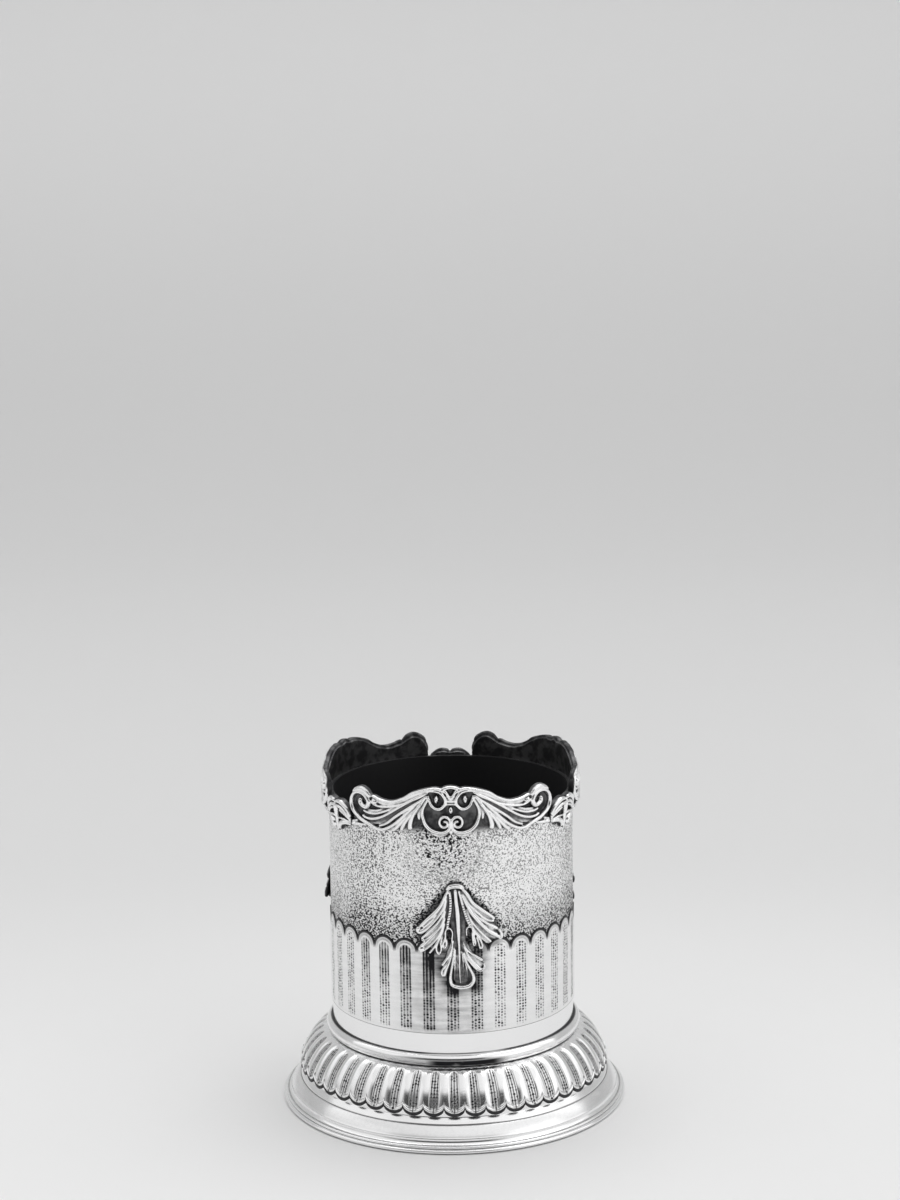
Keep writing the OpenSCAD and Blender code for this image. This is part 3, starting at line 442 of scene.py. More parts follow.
LEAF_RIDGES = [
    # left lobes, from the top down
    ([(-2.3, 1.8), (-3.7, 4.2), (-5.2, 7), (-7.2, 9.3), (-10.2, 11.7), (-12.6, 13.9)],
      (0.8, 1, 1.1, 1.2, 1.1, 0.9), (0.9, 1.1, 1, 1)),
    ([(-12.5, 13.7), (-13.2, 14.8), (-12.7, 15.5), (-10.5, 14.5), (-7.5, 12), (-5.2, 9.2), (-3.8, 6.4),
      (-3, 3.6)], (1.3, 1.6, 1, 0.7, 0.7, 0.6, 0.5), (1.1, 1.2, 1, 0.9)),
    ([(-6.6, 9.9), (-9, 12.2), (-11.6, 14.2)], (0.4, 0.8, 1.3), (0.7, 0.9, 1)),
    ([(-3.1, 5.1), (-4.4, 9.5), (-6.7, 12.9), (-9.8, 15.7), (-12.3, 18)], (0.5, 0.7, 0.8, 0.9, 0.8),
      (0.8, 1.1, 1, 0.8)),
    ([(-12.2, 17.9), (-11.4, 18.5), (-9, 17), (-6.8, 14.7)], (0.8, 0.5, 0.4), (0.9, 0.7, 0.6)),
    ([(-3.6, 8.6), (-5.3, 13.4), (-8, 16.5), (-10.6, 18.9), (-12.8, 20.8)], (0.5, 0.7, 0.7, 0.9, 1.3),
      (0.8, 1.1, 1, 1)),
    ([(-11.2, 20.6), (-12.6, 21.4), (-13.4, 21.9)], (1.2, 2, 1.9), (0.9, 1.2, 1.1)),
    ([(-3.9, 11.1), (-5.5, 15.4), (-7.9, 18.8), (-10.2, 20.8), (-12.9, 22.5)], (0.5, 0.6, 0.6, 0.7, 0.8),
      (0.9, 1.1, 1, 0.9)),
    ([(-4.1, 12.9), (-5.6, 16.9), (-8, 20.6), (-10, 23)], (0.5, 0.6, 0.7, 0.8), (0.8, 1, 1, 0.8)),
    ([(-4.6, 14.6), (-6.6, 18.7), (-8.9, 21.9)], (0.4, 0.4, 0.4), (0.6, 0.7, 0.6)),
    ([(-5, 15.2), (-6.6, 18.5), (-7.5, 21.7), (-6.8, 23.3), (-6, 22.1), (-6, 19.8), (-5.2, 17.5)],
      (0.5, 0.6, 0.7, 0.6, 0.4), (0.9, 1.1, 1.1, 0.9)),
    ([(-4, 15.4), (-4.4, 17.9), (-5.3, 20.6), (-4.8, 21.3), (-4.1, 20.2), (-4.1, 18.2)],
      (0.5, 0.7, 0.9, 0.7), (1, 1.2, 1.1)),
    ([(-4.2, 18.2), (-4.3, 16.4), (-3.7, 15.1), (-2.6, 15), (-1.9, 16.4), (-2.2, 18.8), (-2.1, 21.7)],
      (0.5, 0.6, 0.6, 0.6, 0.4), (1.1, 1.3, 1.2, 1)),
    # right lobes
    ([(2.2, 1.6), (3.9, 3.8), (5.5, 6.8), (8.2, 9.3), (11.2, 11.8), (12.5, 13.1)],
      (0.9, 1.1, 1.1, 1.1, 1, 1), (0.9, 1.1, 1, 1)),
    ([(2.4, 3.6), (4.3, 7.2), (7, 10.4), (9.8, 12.9), (12.3, 13.7)], (0.4, 0.6, 0.7, 0.8), (0.8, 1, 1)),
    ([(3.3, 6.6), (6.2, 10.9), (9.8, 14.2), (13.4, 16.6)], (0.5, 0.7, 0.9, 1), (0.8, 1, 1.1, 1)),
    ([(5.2, 10.6), (8.3, 14.1), (11.8, 16.6)], (0.3, 0.5, 0.4), (0.7, 0.8, 0.7)),
    ([(2.1, 3.4), (3.3, 7), (4.9, 10.3), (7.4, 13.7), (10.9, 17.5), (13.9, 19.5)],
      (0.6, 0.9, 1.1, 1.2, 1.2, 1.1), (0.9, 1.3, 1.4, 1.2)),
    ([(13.4, 16.6), (14.3, 18), (14.2, 19.6), (13.1, 19.8)], (0.9, 1, 1.1, 0.8), (1, 1.1, 1.1)),
    ([(8.8, 14.9), (11.4, 17.2), (13.2, 18.4)], (0.4, 0.6, 0.5), (0.8, 0.9, 0.8)),
    ([(3.1, 8.6), (4.9, 13.2), (7.8, 17.3), (10.8, 20.8)], (0.5, 0.7, 0.8, 0.9), (0.8, 1.1, 1.1, 0.9)),
    ([(5, 14.6), (7.4, 18.6), (9.4, 21)], (0.3, 0.4, 0.4), (0.6, 0.7, 0.6)),
    ([(3.7, 11.7), (5.6, 16.7), (7.3, 19.8), (7.7, 22), (7, 22.5), (6.6, 20.7), (6, 18.3)],
      (0.5, 0.7, 0.7, 0.6, 0.4), (0.9, 1.1, 1.1, 0.8)),
    ([(4.6, 14.8), (5.2, 18.2), (5.5, 20.8), (5, 21.3), (4.7, 19.2), (4.6, 16.7)], (0.5, 0.6, 0.6, 0.4),
      (1, 1.2, 1.1)),
    ([(2.9, 18.2), (2.8, 16.4), (3.2, 15.1), (4.1, 14.9), (5, 15.7), (5.4, 18.2)], (0.4, 0.6, 0.6, 0.5),
      (1, 1.3, 1.2, 1)),
    # midrib and the two beaded stems beside it
    ([(-0.1, 1.4), (0, 5.5), (0.2, 9.2), (0.2, 13.6), (0.1, 18.2), (0, 22.9), (-0.3, 29.1), (-0.4, 34.2)],
      (1.1, 1.4, 1.7, 1.5, 0.9, 0.7, 0.5, 0.3), (1.5, 1.8, 2.1, 1.9, 1.6, 1.4, 1.1, 0.7)),
    ([(-2, 2), (-1.8, 5.5), (-2.2, 9.2), (-3.1, 12.9), (-3.5, 15)], (0.9, 1, 1.1, 1.1, 0.9),
      (1.1, 1.5, 1.6, 1.4)),
    ([(1.1, 2), (1.8, 5.8), (2.8, 10.4), (3.7, 13.6), (4.3, 15)], (0.8, 0.9, 1, 1.1, 0.9),
      (1.1, 1.5, 1.6, 1.4)),
    # lower lobes
    ([(-1.6, 19), (-3.1, 23.4), (-5, 26), (-6.2, 27.5)], (0.4, 0.6, 0.8, 0.9), (0.8, 1, 1, 0.9)),
    ([(-2.2, 21.6), (-3.3, 25.7), (-4.9, 29.1), (-5.7, 31.3)], (0.4, 0.6, 0.9, 1.3), (0.8, 1, 1.1, 1)),
    ([(-2.7, 22.6), (-4, 26.3), (-5.9, 28.7), (-6.3, 29.8), (-5.8, 31.2)], (0.4, 0.5, 0.6, 0.7),
      (0.7, 0.9, 0.9)),
    ([(1.3, 20), (3.1, 23.2), (5.8, 25.4), (7.6, 26.8)], (0.4, 0.6, 0.8, 0.9), (0.8, 1.1, 1, 0.9)),
    ([(1.5, 21.4), (3.4, 25.7), (5.6, 28.7), (7, 29.8)], (0.4, 0.8, 1, 0.9), (0.8, 1.2, 1.1, 1)),
    ([(7.6, 27.4), (7.9, 28.8), (7, 30), (5.9, 30), (4.8, 29), (2.8, 26.2), (1.4, 23.4)],
      (0.6, 0.7, 0.7, 0.6, 0.4), (1, 1, 0.9, 0.8)),
    # tongue: its rolled rim and inner ribs
    ([(-1.5, 21.5), (-2.1, 25), (-2.9, 28.5), (-3.5, 31.9), (-3.1, 34.1), (-1.3, 35.1), (0.5, 35.3),
      (2.6, 34.9), (3.9, 33.4), (4, 31.5), (3.2, 29.4), (2, 26.6), (1.2, 23.5)],
      (0.4, 0.7, 0.9, 1.3, 1.5, 1.2, 0.8, 0.5), (0.8, 1.1, 1.4, 1.7, 1.7, 1.4, 1)),
    ([(-1.2, 22), (-1.8, 27.9), (-2.2, 33)], (0.4, 0.5, 0.4), (0.7, 0.7, 0.4)),
    ([(-0.8, 24), (-1.1, 28.5), (-1.3, 33.4)], (0.3, 0.35, 0.3), (0.6, 0.6, 0.3)),
    ([(0.8, 22.9), (1, 27.9), (0.8, 33.4)], (0.4, 0.4, 0.3), (0.7, 0.6, 0.3)),
    ([(1.1, 24.1), (2, 28.8), (2.3, 32.8)], (0.4, 0.5, 0.4), (0.7, 0.7, 0.4)),
    # collar at the top
    ([(-3.1, 2), (-2, 0.75), (0.1, 0.35), (2.1, 0.9), (3, 2)], (0.8, 1.3, 1.5, 1.3, 0.8),
      (0.9, 1.5, 1.7, 1.5, 0.9)),
    ([(-2.6, 1.9), (-1.6, 1.2), (0.1, 1), (1.7, 1.3), (2.5, 2)], (0.4, 0.5, 0.5, 0.4),
      (1.6, 1.9, 1.9, 1.6)),
]


# Shader groups and materials


class Value:
    """A number, colour or vector in a node tree. Arithmetic on it adds math nodes to the tree."""

    def __init__(self, w, socket):
        self.w = w
        self.socket = socket

    def __add__(self, other):
        return self.w.math("ADD", self, other)

    def __sub__(self, other):
        return self.w.math("SUBTRACT", self, other)

    def __rsub__(self, other):
        return self.w.math("SUBTRACT", other, self)

    def __mul__(self, other):
        return self.w.math("MULTIPLY", self, other)

    def __truediv__(self, other):
        return self.w.math("DIVIDE", self, other)

    def __pow__(self, other):
        return self.w.math("POWER", self, other)

    def __abs__(self):
        return self.w.math("ABSOLUTE", self)

    __radd__ = __add__
    __rmul__ = __mul__


class Wiring:
    """Short calls that add nodes to a tree and join them. What they take may be plain or a Value."""

    def __init__(self, tree):
        self.tree = tree

    def add(self, kind, **settings):
        node = self.tree.nodes.new(kind)
        count = len(self.tree.nodes)
        node.location = (190 * (count % 14), -230 * (count // 14))
        for name, value in settings.items():
            setattr(node, name, value)
        return node

    def feed(self, socket, value):
        if isinstance(value, Value):
            self.tree.links.new(value.socket, socket)
        else:
            socket.default_value = value

    def fed(self, kind, *values, **settings):
        """The outputs of a new node whose first inputs get the values."""
        node = self.add(kind, **settings)
        for socket, value in zip(node.inputs, values):
            self.feed(socket, value)
        return [Value(self, socket) for socket in node.outputs]

    def math(self, operation, *values, clamp=False):
        return self.fed("ShaderNodeMath", *values, operation=operation, use_clamp=clamp)[0]

    def most(self, first, *others):
        for value in others:
            first = self.math("MAXIMUM", first, value)
        return first

    def distance(self, x, y):
        return self.math("SQRT", x * x + y * y)

    def ramp(self, value, low, high, start=0.0, end=1.0):
        """Start to end, smoothly, while the value goes from low to high."""
        values = value, low, high, start, end
        return self.fed("ShaderNodeMapRange", *values, interpolation_type="SMOOTHSTEP")[0]

    def near(self, value, middle, outer, inner, start=0.0, end=1.0):
        """Start to end, smoothly, while the value's distance from the middle goes from outer to inner."""
        return self.ramp(abs(value - middle), outer, inner, start, end)

    def mix(self, share, a, b, kind="RGBA"):
        """A to b as the share goes from 0 to 1. The kind is RGBA for colours and FLOAT for numbers."""
        node = self.add("ShaderNodeMix", data_type=kind)
        carried = "RGBA" if kind == "RGBA" else "VALUE"
        first, second = (s for s in node.inputs if s.type == carried and s.name in "AB")
        for socket, value in ((node.inputs[0], share), (first, a), (second, b)):
            self.feed(socket, value)
        return Value(self, next(s for s in node.outputs if s.type == carried))

    def noise(self, place, scale, detail=2.0, rough=0.5):
        node = self.add("ShaderNodeTexNoise")
        for name, value in (("Vector", place), ("Scale", scale), ("Detail", detail), ("Roughness", rough)):
            self.feed(node.inputs[name], value)
        return Value(self, node.outputs["Fac"])

    def chance(self, x, y, z=None):
        """A number from 0 to 1, drawn anew for each set of two or three values."""
        corner = self.join(x, y, 0.0 if z is None else z)
        kind = "2D" if z is None else "3D"
        return self.fed("ShaderNodeTexWhiteNoise", corner, noise_dimensions=kind)[0]

    def place(self, kind="Object"):
        return Value(self, self.add("ShaderNodeTexCoord").outputs[kind])

    def split(self, vector):
        return self.fed("ShaderNodeSeparateXYZ", vector)

    def join(self, x, y, z):
        return self.fed("ShaderNodeCombineXYZ", x, y, z)[0]

    def up(self, place):
        """Height of a place in millimetres."""
        return self.split(place)[2] / MM

    def attribute(self, name):
        return Value(self, self.add("ShaderNodeAttribute", attribute_name=name).outputs["Fac"])

    def use(self, group, **given):
        """The outputs of a shader group, by name."""
        tree = group()
        node = self.add("ShaderNodeGroup", node_tree=tree, label=tree.name)
        for name, value in given.items():
            self.feed(node.inputs[name.replace("_", " ")], value)
        return {socket.name: Value(self, socket) for socket in node.outputs}


def shader_group(name, **inputs):
    """Turns a function into a shader group, made on its first use. The function takes the wiring and the
    group's inputs, and returns its outputs by name. An input of None is a vector."""

    def wrap(draw):
        def tree():
            if name in bpy.data.node_groups:
                return bpy.data.node_groups[name]
            group = bpy.data.node_groups.new(name, "ShaderNodeTree")
            for label, value in inputs.items():
                kind = "NodeSocketVector" if value is None else "NodeSocketFloat"
                socket = group.interface.new_socket(label.replace("_", " "), in_out="INPUT", socket_type=kind)
                if value is not None:
                    socket.default_value = value
            w = Wiring(group)
            source = w.add("NodeGroupInput").outputs
            drawn = draw(w, *(Value(w, socket) for socket, _ in zip(source, inputs)))
            for label in drawn:
                group.interface.new_socket(label, in_out="OUTPUT", socket_type="NodeSocketFloat")
            sink = w.add("NodeGroupOutput")
            for label, value in drawn.items():
                w.feed(sink.inputs[label], value)
            return group

        return tree

    return wrap


@shader_group("Round the axis", Place=None, Count=3.0, Pitch=1.0)
def round_the_axis(w, place, count, pitch):
    """Repeats round the upright axis: where a point lies across its own repeat, and the repeat's number."""
    x, y, _ = w.split(place)
    share = w.math("ARCTAN2", x, y * -1.0) / (2 * math.pi) * count + 0.5
    number = w.math("FLOOR", share)
    return {"Across": (share - number - 0.5) * pitch, "Number": number}


@shader_group("Punched rows", Across=0.0, Along=0.0, Number=0.0, Row_gap=1.0, Rows=4.0, Dot_gap=0.6, Dot=0.16)
def punched_rows(w, across, along, number, row_gap, rows, dot_gap, dot):
    """Rows of small punched dots, a little loose in their places. Lengths are in millimetres."""
    # The row and the step in it, each with its own chance of lying off its place
    shifted = across / row_gap + rows / 2.0
    row = w.math("FLOOR", shifted)
    inside = w.math("GREATER_THAN", shifted, 0.0) * w.math("LESS_THAN", shifted, rows)
    run = along / dot_gap + w.chance(row, number) * 3.0
    step = w.math("FLOOR", run)
    loose = w.chance(row, number, step) - 0.5
    # Distance from the dot's own middle
    dx = (shifted - row - 0.5 - loose * 0.1) * row_gap * 0.95
    dy = (run - step - (loose * 0.3 + 0.5)) * dot_gap * 1.15
    size = dot * (loose * 0.6 + 0.85)
    dots = w.ramp(w.distance(dx, dy) / size, 1.2, 0.8) * w.ramp(loose, -0.5, 0.0, 0.6, 1.0)
    lane = w.ramp(abs(shifted - row - 0.5), 0.36, 0.12)
    return {"Dots": dots * inside, "Lane": lane * inside}


@shader_group("Worm grain", Place=None, Pits_per_metre=1500.0, Cover=0.5)
def worm_grain(w, place, pits_per_metre, cover):
    """Short crooked pits all over a surface, as a chasing tool leaves them."""
    x, y, z = w.split(place)
    flat = w.join(x, y, z * 1.2)
    rough = w.noise(flat, pits_per_metre, 0.0) * 0.55 + w.noise(flat, pits_per_metre * 1.8, 0.0) * 0.45
    # Level of the noise below which a pit lies, raised by the cover
    level = cover * 0.24 + 0.37
    pits = w.ramp(rough, level + 0.015, level - 0.035)
    return {"Pits": pits, "Height": rough - pits * 0.25}


@shader_group("Fine scratches", Place=None, Lines_per_metre=2500.0)
def fine_scratches(w, place, lines_per_metre):
    """Faint rings and hairlines that polishing leaves round a turned piece."""
    x, y, z = w.split(place)
    turn = w.math("ARCTAN2", x, y * -1.0)
    line = w.join(turn * 3.0, w.distance(x, y) * lines_per_metre, z * lines_per_metre)
    rings = w.noise(line, 1.0, 2.0, 0.6)
    cloud = w.noise(place, 45.0, 3.0, 0.6)
    return {"Height": rings, "Dull": w.ramp(rings, 0.45, 0.7) * w.ramp(cloud, 0.4, 0.65)}


@shader_group("Oxide in recesses", Place=None, Recess=0.0, Amount=1.0, Patchy=0.3)
def oxide_in_recesses(w, place, recess, amount, patchy):
    """How black the recess makes a point, oxide and on some pieces painted shadow: full in the recesses, worn
    away in patches on what stands proud.
    """
    worn = (w.noise(place, 900.0, 3.0, 0.6) - 0.5) * patchy
    depth = recess + worn * w.ramp(recess, 0.0, 0.5)
    return {"Oxide": w.math("MULTIPLY", w.ramp(depth, 0.05, 0.95), amount, clamp=True)}


def new_material(name):
    """A new material, the wiring of its nodes and its shader."""
    material = bpy.data.materials.new(name)
    material.use_nodes = True
    return material, Wiring(material.node_tree), material.node_tree.nodes["Principled BSDF"]


def shade(colour, factor=1.0):
    """A colour made lighter or darker, with its alpha."""
    return [c * factor for c in colour] + [1]


def raise_surface(w, shader, height):
    """Bumps a material by a height in millimetres."""
    bump = w.add("ShaderNodeBump")
    bump.inputs["Distance"].default_value = MM
    w.feed(bump.inputs["Height"], height)
    w.feed(shader.inputs["Normal"], Value(w, bump.outputs["Normal"]))


def silver(name):
    """Turns a function into a silver material, made on its first use. The function returns the mask of its
    black, which is oxide and in places painted shade, the height for the bump in millimetres and how dull the
    metal is."""

    def wrap(draw):
        def finish():
            if name in bpy.data.materials:
                return bpy.data.materials[name]
            look = bpy.context.scene.coaster_silver
            material, w, shader = new_material(name)
            place = w.place()
            oxide_and_shade, height, dull = draw(w, place)
            shader.inputs["Metallic"].default_value = 1.0
            tone = w.mix(w.noise(place, 60.0, 3.0, 0.55), shade(look.metal, 0.965), shade(look.metal))
            # The black goes where there is oxide and where shade or a shadow is painted
            w.feed(shader.inputs["Base Color"], w.mix(oxide_and_shade, tone, shade(look.oxide_and_shade)))
            rough = w.mix(oxide_and_shade, dull * DULL_ROUGHNESS + look.polish, look.oxide_dull, "FLOAT")
            w.feed(shader.inputs["Roughness"], rough)
            raise_surface(w, shader, height)
            return material

        return finish

    return wrap


def crease(w, place, amount=0.96, **given):
    """Oxide in the recesses of a piece's own mesh, with the painted shadow that some pieces keep in the same
    attribute.
    """
    recess = w.attribute("recess")
    return w.use(oxide_in_recesses, Place=place, Recess=recess, Amount=amount, **given)["Oxide"]


def scratches(w, place):
    """Height in millimetres and dullness of the fine scratches."""
    lines = w.use(fine_scratches, Place=place)
    return lines["Height"] * SCRATCH_MM, lines["Dull"]


def third(w, place):
    """Degrees from the middle of the nearest third of the coaster, -60 to 60."""
    return w.use(round_the_axis, Place=place, Count=3.0, Pitch=THIRD)["Across"]


def punched(w, look, repeat, across, along, rows):
    """The punched rows of one flute or lappet, with the gaps and the dot size of its settings."""
    return w.use(
        punched_rows, Across=across, Along=along, Number=repeat["Number"], Rows=rows,
        Row_gap=look.row_gap / MM, Dot_gap=look.dot_gap / MM, Dot=look.dot / MM / 2,
    )


def beside_leaf(w, place):
    """1 along the outline of the nearest leaf, falling to 0 a few millimetres off it."""
    pitch = 2 * math.pi * radius_of("body_wall") / 3
    aside = 1.0
    lean = 0.052
    half_high = 17.7
    widest = 12.8
    across = w.use(round_the_axis, Place=place, Count=3.0, Pitch=pitch)["Across"]
    down = top_of("leaf_front") - w.up(place)
    # Half the leaf's width: it spreads from the top to its widest lobes and narrows to the tongue
    spread = w.math("MINIMUM", down * 0.77 + 1.7, widest)
    half = w.mix(w.ramp(down, 21.0, 23.5), spread, 13.6 - down * 0.26, "FLOAT")
    gap = w.most(abs(across - aside - down * lean) - half, abs(down - half_high) - half_high)
    # The tarnish reaches farther off the leaf low down
    reach = w.math("MINIMUM", w.most(down * 0.42 + 1.6, 1.0), 6.5)
    return w.ramp(gap / reach, 1.0, -0.05)


def arch_edge(w, place, radius):
    """Distance in millimetres inside the arched edge of the nearest lappet, below 0 on the wall above it."""
    repeat = w.use(round_the_axis, Place=place, Count=float(LAPPETS), Pitch=2 * math.pi * radius / LAPPETS)
    rise = w.most(w.up(place) - (top_of("lappet_band") - ARCH_DOWN), 0.0)
    return ARCH_R - w.distance(rise, repeat["Across"]), repeat


@silver("silver_polished_finish")
def polished_silver(w, place):
    """Polished sheet with dark creases."""
    return crease(w, place), *scratches(w, place)


@silver("silver_spun_finish")
def spun_silver(w, place):
    """The foot's mouldings, polished a little less bright."""
    height, dull = scratches(w, place)
    return crease(w, place), height, dull + 0.4


@silver("silver_collar_finish")
def collar_silver(w, place):
    """Polished silver with a painted dark reflection in a line low on the collar, darkest below each leaf."""
    up = w.up(place) - bottom_of("collar_ring")
    side = third(w, place)
    # Painted dark reflection: a patchy band low on the collar, strongest below each leaf and fainter over a
    # wider span to its left
    near = w.near(side, 5.0, 22.0, 12.0)
    far = w.near(side, -14.0, 34.0, 14.0, 0.0, 0.42)
    band = w.ramp(up, 0.5, 0.9) * w.ramp(up, 3.0, 2.3)
    patches = w.ramp(w.noise(place, 140.0, 3.0, 0.6), 0.3, 0.5, 0.65, 1.0)
    clean = near * w.ramp(up, 2.5, 3.5)
    oxide_and_shade = w.most(crease(w, place, 0.96 - clean * 0.5), band * w.most(near, far) * patches)
    return oxide_and_shade, *scratches(w, place)


@silver("silver_grained_finish")
def grained_silver(w, place):
    """The wall's grain, with tarnish beside the leaves and along the arches, a painted shadow along the
    arches' edges, a painted shadow with some oxide under the rim, and painted shade on the left.
    """
    look = bpy.context.scene.coaster_wall
    arches = top_of("lappet_band")
    up = w.up(place)
    side = third(w, place)
    wave = w.math("SINE", side * (math.pi / 60))
    worn = w.ramp(abs(side), 34.0, 58.0, 1.0, 0.85) * w.ramp(wave, 0.0, 1.0, 1.0, 0.8)
    middle = w.near(side, -3.0, 24.0, 8.0) * w.ramp(up, 84.0, 96.0)
    above = w.ramp(up, arches - 4.5, arches - 2.5)
    low = w.ramp(up, arches + 15.0, arches - 1.0)
    leaf = beside_leaf(w, place)
    # Painted shadow, with some oxide, on the wall just under the castings
    under = w.ramp(up, 100.0, 104.8) * 0.5
    # Painted shade on the left of each third, where the surroundings mirror darker
    left = w.ramp(side, -26.0, -42.0) * w.ramp(side, -60.0, -50.0) * 0.4
    dark = w.most(low * 0.75 + left, under, leaf)
    bright = w.near(side, -21.0, 16.0, 4.0) * w.ramp(up, 74.0, 82.0)
    cloud = w.noise(place, 130.0, 3.0, 0.55)
    # The pits lie thicker where it is dark, and are coarser in the middle above the leaf
    cover = dark * 0.3 + (cloud - 0.5) * 0.3 - bright * 0.13 + look.cover
    grain = w.use(worm_grain, Place=place, Pits_per_metre=look.pits, Cover=cover)
    coarse = w.use(worm_grain, Place=place, Pits_per_metre=look.coarse_pits, Cover=cover + 0.06)
    pits = w.mix(middle, grain["Pits"], coarse["Pits"], "FLOAT") * worn * above
    strong = w.math("ADD", (middle + dark) * 0.22, 0.78, clamp=True)
    # Smooth stains between the pits, the painted shadow along the arches and the painted shadow, with some
    # oxide, at the dark edge under the rim
    stain = w.most(leaf**3.0 * 0.85, low * 0.22) * above
    edge, _ = arch_edge(w, place, radius_of("body_wall"))
    shadow = w.ramp(edge, -0.55, -0.1) * above
    oxide_and_shade = w.math("ADD", pits * strong, w.most(stain, shadow), clamp=True)
    oxide_and_shade = w.most(oxide_and_shade, w.ramp(up, 103.8, 106.8, 0.0, 0.9))
    height, dull = scratches(w, place)
    relief = grain["Height"] * (middle * 0.1 + 0.26) * (worn * above)
    return oxide_and_shade, relief + height, dull + above


@silver("silver_lappet_finish")
def lappet_silver(w, place):
    """Punched rows on each lappet, hazy and stained where the polish has gone, and dark under the arches."""
    edge, repeat = arch_edge(w, place, radius_of("lappet_band"))
    up = w.up(place)
    side = third(w, place)
    across = repeat["Across"] + 0.03
    rows = punched(w, bpy.context.scene.coaster_lappets, repeat, across, up, 4.0)
    span = w.ramp(up, 36.0, 37.5) * w.ramp(edge, 1.9, 2.5)
    cloud = w.noise(place, 320.0, 3.0, 0.6)
    deep = w.ramp(w.noise(place, 90.0), 0.3, 0.6, 0.75, 1.0) * w.ramp(cloud, 0.25, 0.55, 0.6, 1.0)
    dots = rows["Dots"] * span * deep
    leaf = beside_leaf(w, place)
    # Streaky stain, strongest below the leaf and beside it
    streak = w.use(fine_scratches, Place=place, Lines_per_metre=700.0)["Height"]
    grey = streak * 0.75 + cloud * 0.35
    worn = w.near(side, -4.0, 28.0, 6.0) * 0.46 + 0.1
    stain = worn * w.ramp(grey, 0.2, 0.85, 0.08, 0.9) + leaf**2.0 * w.ramp(grey, 0.0, 0.8, 0.25, 0.6)
    # Haze over the punched strip and along its rows, stronger high up on the left
    high = w.ramp(up, 46.0, 62.0) * w.near(side, -24.0, 32.0, 14.0)
    haze = w.ramp(abs(across), 2.7, 1.7) * (worn * 0.6 + (leaf * 0.25 + high * 0.6)) * (span * cloud)
    lanes = rows["Lane"] * span * (w.near(side, -22.0, 34.0, 14.0, 0.12, 0.3) + high * 0.32)
    haze = haze + lanes * deep
    # The groove under the arch
    groove = w.ramp(edge, 2.1, 1.4) * w.ramp(cloud, 0.2, 0.7, 0.2, 0.4)
    groove = w.most(groove, w.ramp(edge, 0.9, 0.5, 0.0, 0.95)) * w.ramp(up, 62.4, 64.6)
    stained = w.math("ADD", w.most(dots, haze), stain, clamp=True)
    height, dull = scratches(w, place)
    return w.most(crease(w, place, 0.95), groove, stained), height - dots * 0.08, dull


@silver("silver_fluted_finish")
def fluted_silver(w, place):
    """Punched rows in the dome's channels, which stay hazy."""
    repeat = w.use(round_the_axis, Place=place, Count=float(FLUTES), Pitch=2 * math.pi * FLUTE_R / FLUTES)
    rows = punched(w, bpy.context.scene.coaster_dome, repeat, repeat["Across"], w.attribute("down"), 3.0)
    channel = w.attribute("channel")
    cloud = w.noise(place, 380.0, 3.0, 0.6)
    dots = rows["Dots"] * channel * w.ramp(cloud, 0.25, 0.6, 0.8, 1.0)
    haze = channel * cloud * 0.36 + rows["Lane"] * channel * 0.62
    height, dull = scratches(w, place)
    return w.most(crease(w, place), dots, haze), height - dots * 0.05, dull + 0.3


@silver("silver_cast_finish")
def cast_silver(w, place):
    """Cast silver: black recesses and fine pores."""
    amount = w.ramp(w.noise(place, 330.0), 0.36, 0.62, 0.87, 0.97)
    pores = w.noise(place, 2600.0, 3.0, 0.6)
    return crease(w, place, amount, Patchy=0.5), pores * 0.012, w.ramp(pores, 0.4, 0.7, 0.0, 0.8)


def cloth(name, colour, pile, per_metre, rough=0.9):
    """A short napped cloth, or a painted lining when its pile is slight. The pile is in millimetres."""
    if name in bpy.data.materials:
        return bpy.data.materials[name]
    material, w, shader = new_material(name)
    place = w.place()
    nap = w.noise(place, per_metre, 4.0, 0.65)
    cloud = w.noise(place, per_metre / 30)
    tone = w.mix(nap * 0.6 + cloud * 0.4, shade(colour, 0.5), shade(colour, 1.6))
    w.feed(shader.inputs["Base Color"], tone)
    w.feed(shader.inputs["Roughness"], rough - nap * 0.12)
    raise_surface(w, shader, nap * pile)
    return material


# Sizes and colours that a user would change


def length(name, description, millimetres):
    return bpy.props.FloatProperty(
        name=name, description=description, default=millimetres * MM, min=0, unit="LENGTH", precision=5
    )


def share(name, description, value):
    return bpy.props.FloatProperty(
        name=name, description=description, default=value, min=0, max=1, subtype="FACTOR"
    )


def number(name, description, value):
    return bpy.props.FloatProperty(name=name, description=description, default=value, min=0)


def colour(name, description, value):
    return bpy.props.FloatVectorProperty(
        name=name, description=description, default=value, min=0, max=1, size=3, subtype="COLOR"
    )


class SilverLook(bpy.types.PropertyGroup):
    metal: colour("Silver", "Colour of the clean silver", (0.95, 0.95, 0.953))
    # This black paints the oxide and also the painted shade and shadows that some pieces carry in their masks
    oxide_and_shade: colour("Oxide", "Colour of the black oxide in the recesses", (0.022, 0.022, 0.024))
    polish: share("Roughness", "Roughness of the polished silver", 0.13)
    oxide_dull: share("Oxide roughness", "Roughness where the oxide is thick", 0.5)


class FootSizes(bpy.types.PropertyGroup):
    neck_proud: length("Neck stands out", "How far the neck's band stands out from the CAD neck", 0.75)
    bulge: length("Slope bulge", "How far the foot's slope swells", 0.22)


class DomeSizes(bpy.types.PropertyGroup):
    channel: share("Channel width", "Width of a channel as a share of a flute", 0.48)
    channel_depth: length("Channel depth", "Step from a land down into a channel", 0.14)
    lip: length("Lip width", "Width of the rolled lip along the scallops", 0.95)
    row_gap: length("Row gap", "Distance between rows of dots in a channel", 0.98)
    dot_gap: length("Dot gap", "Distance between dots in a row", 1.1)
    dot: length("Dot size", "Size of a punched dot", 0.84)


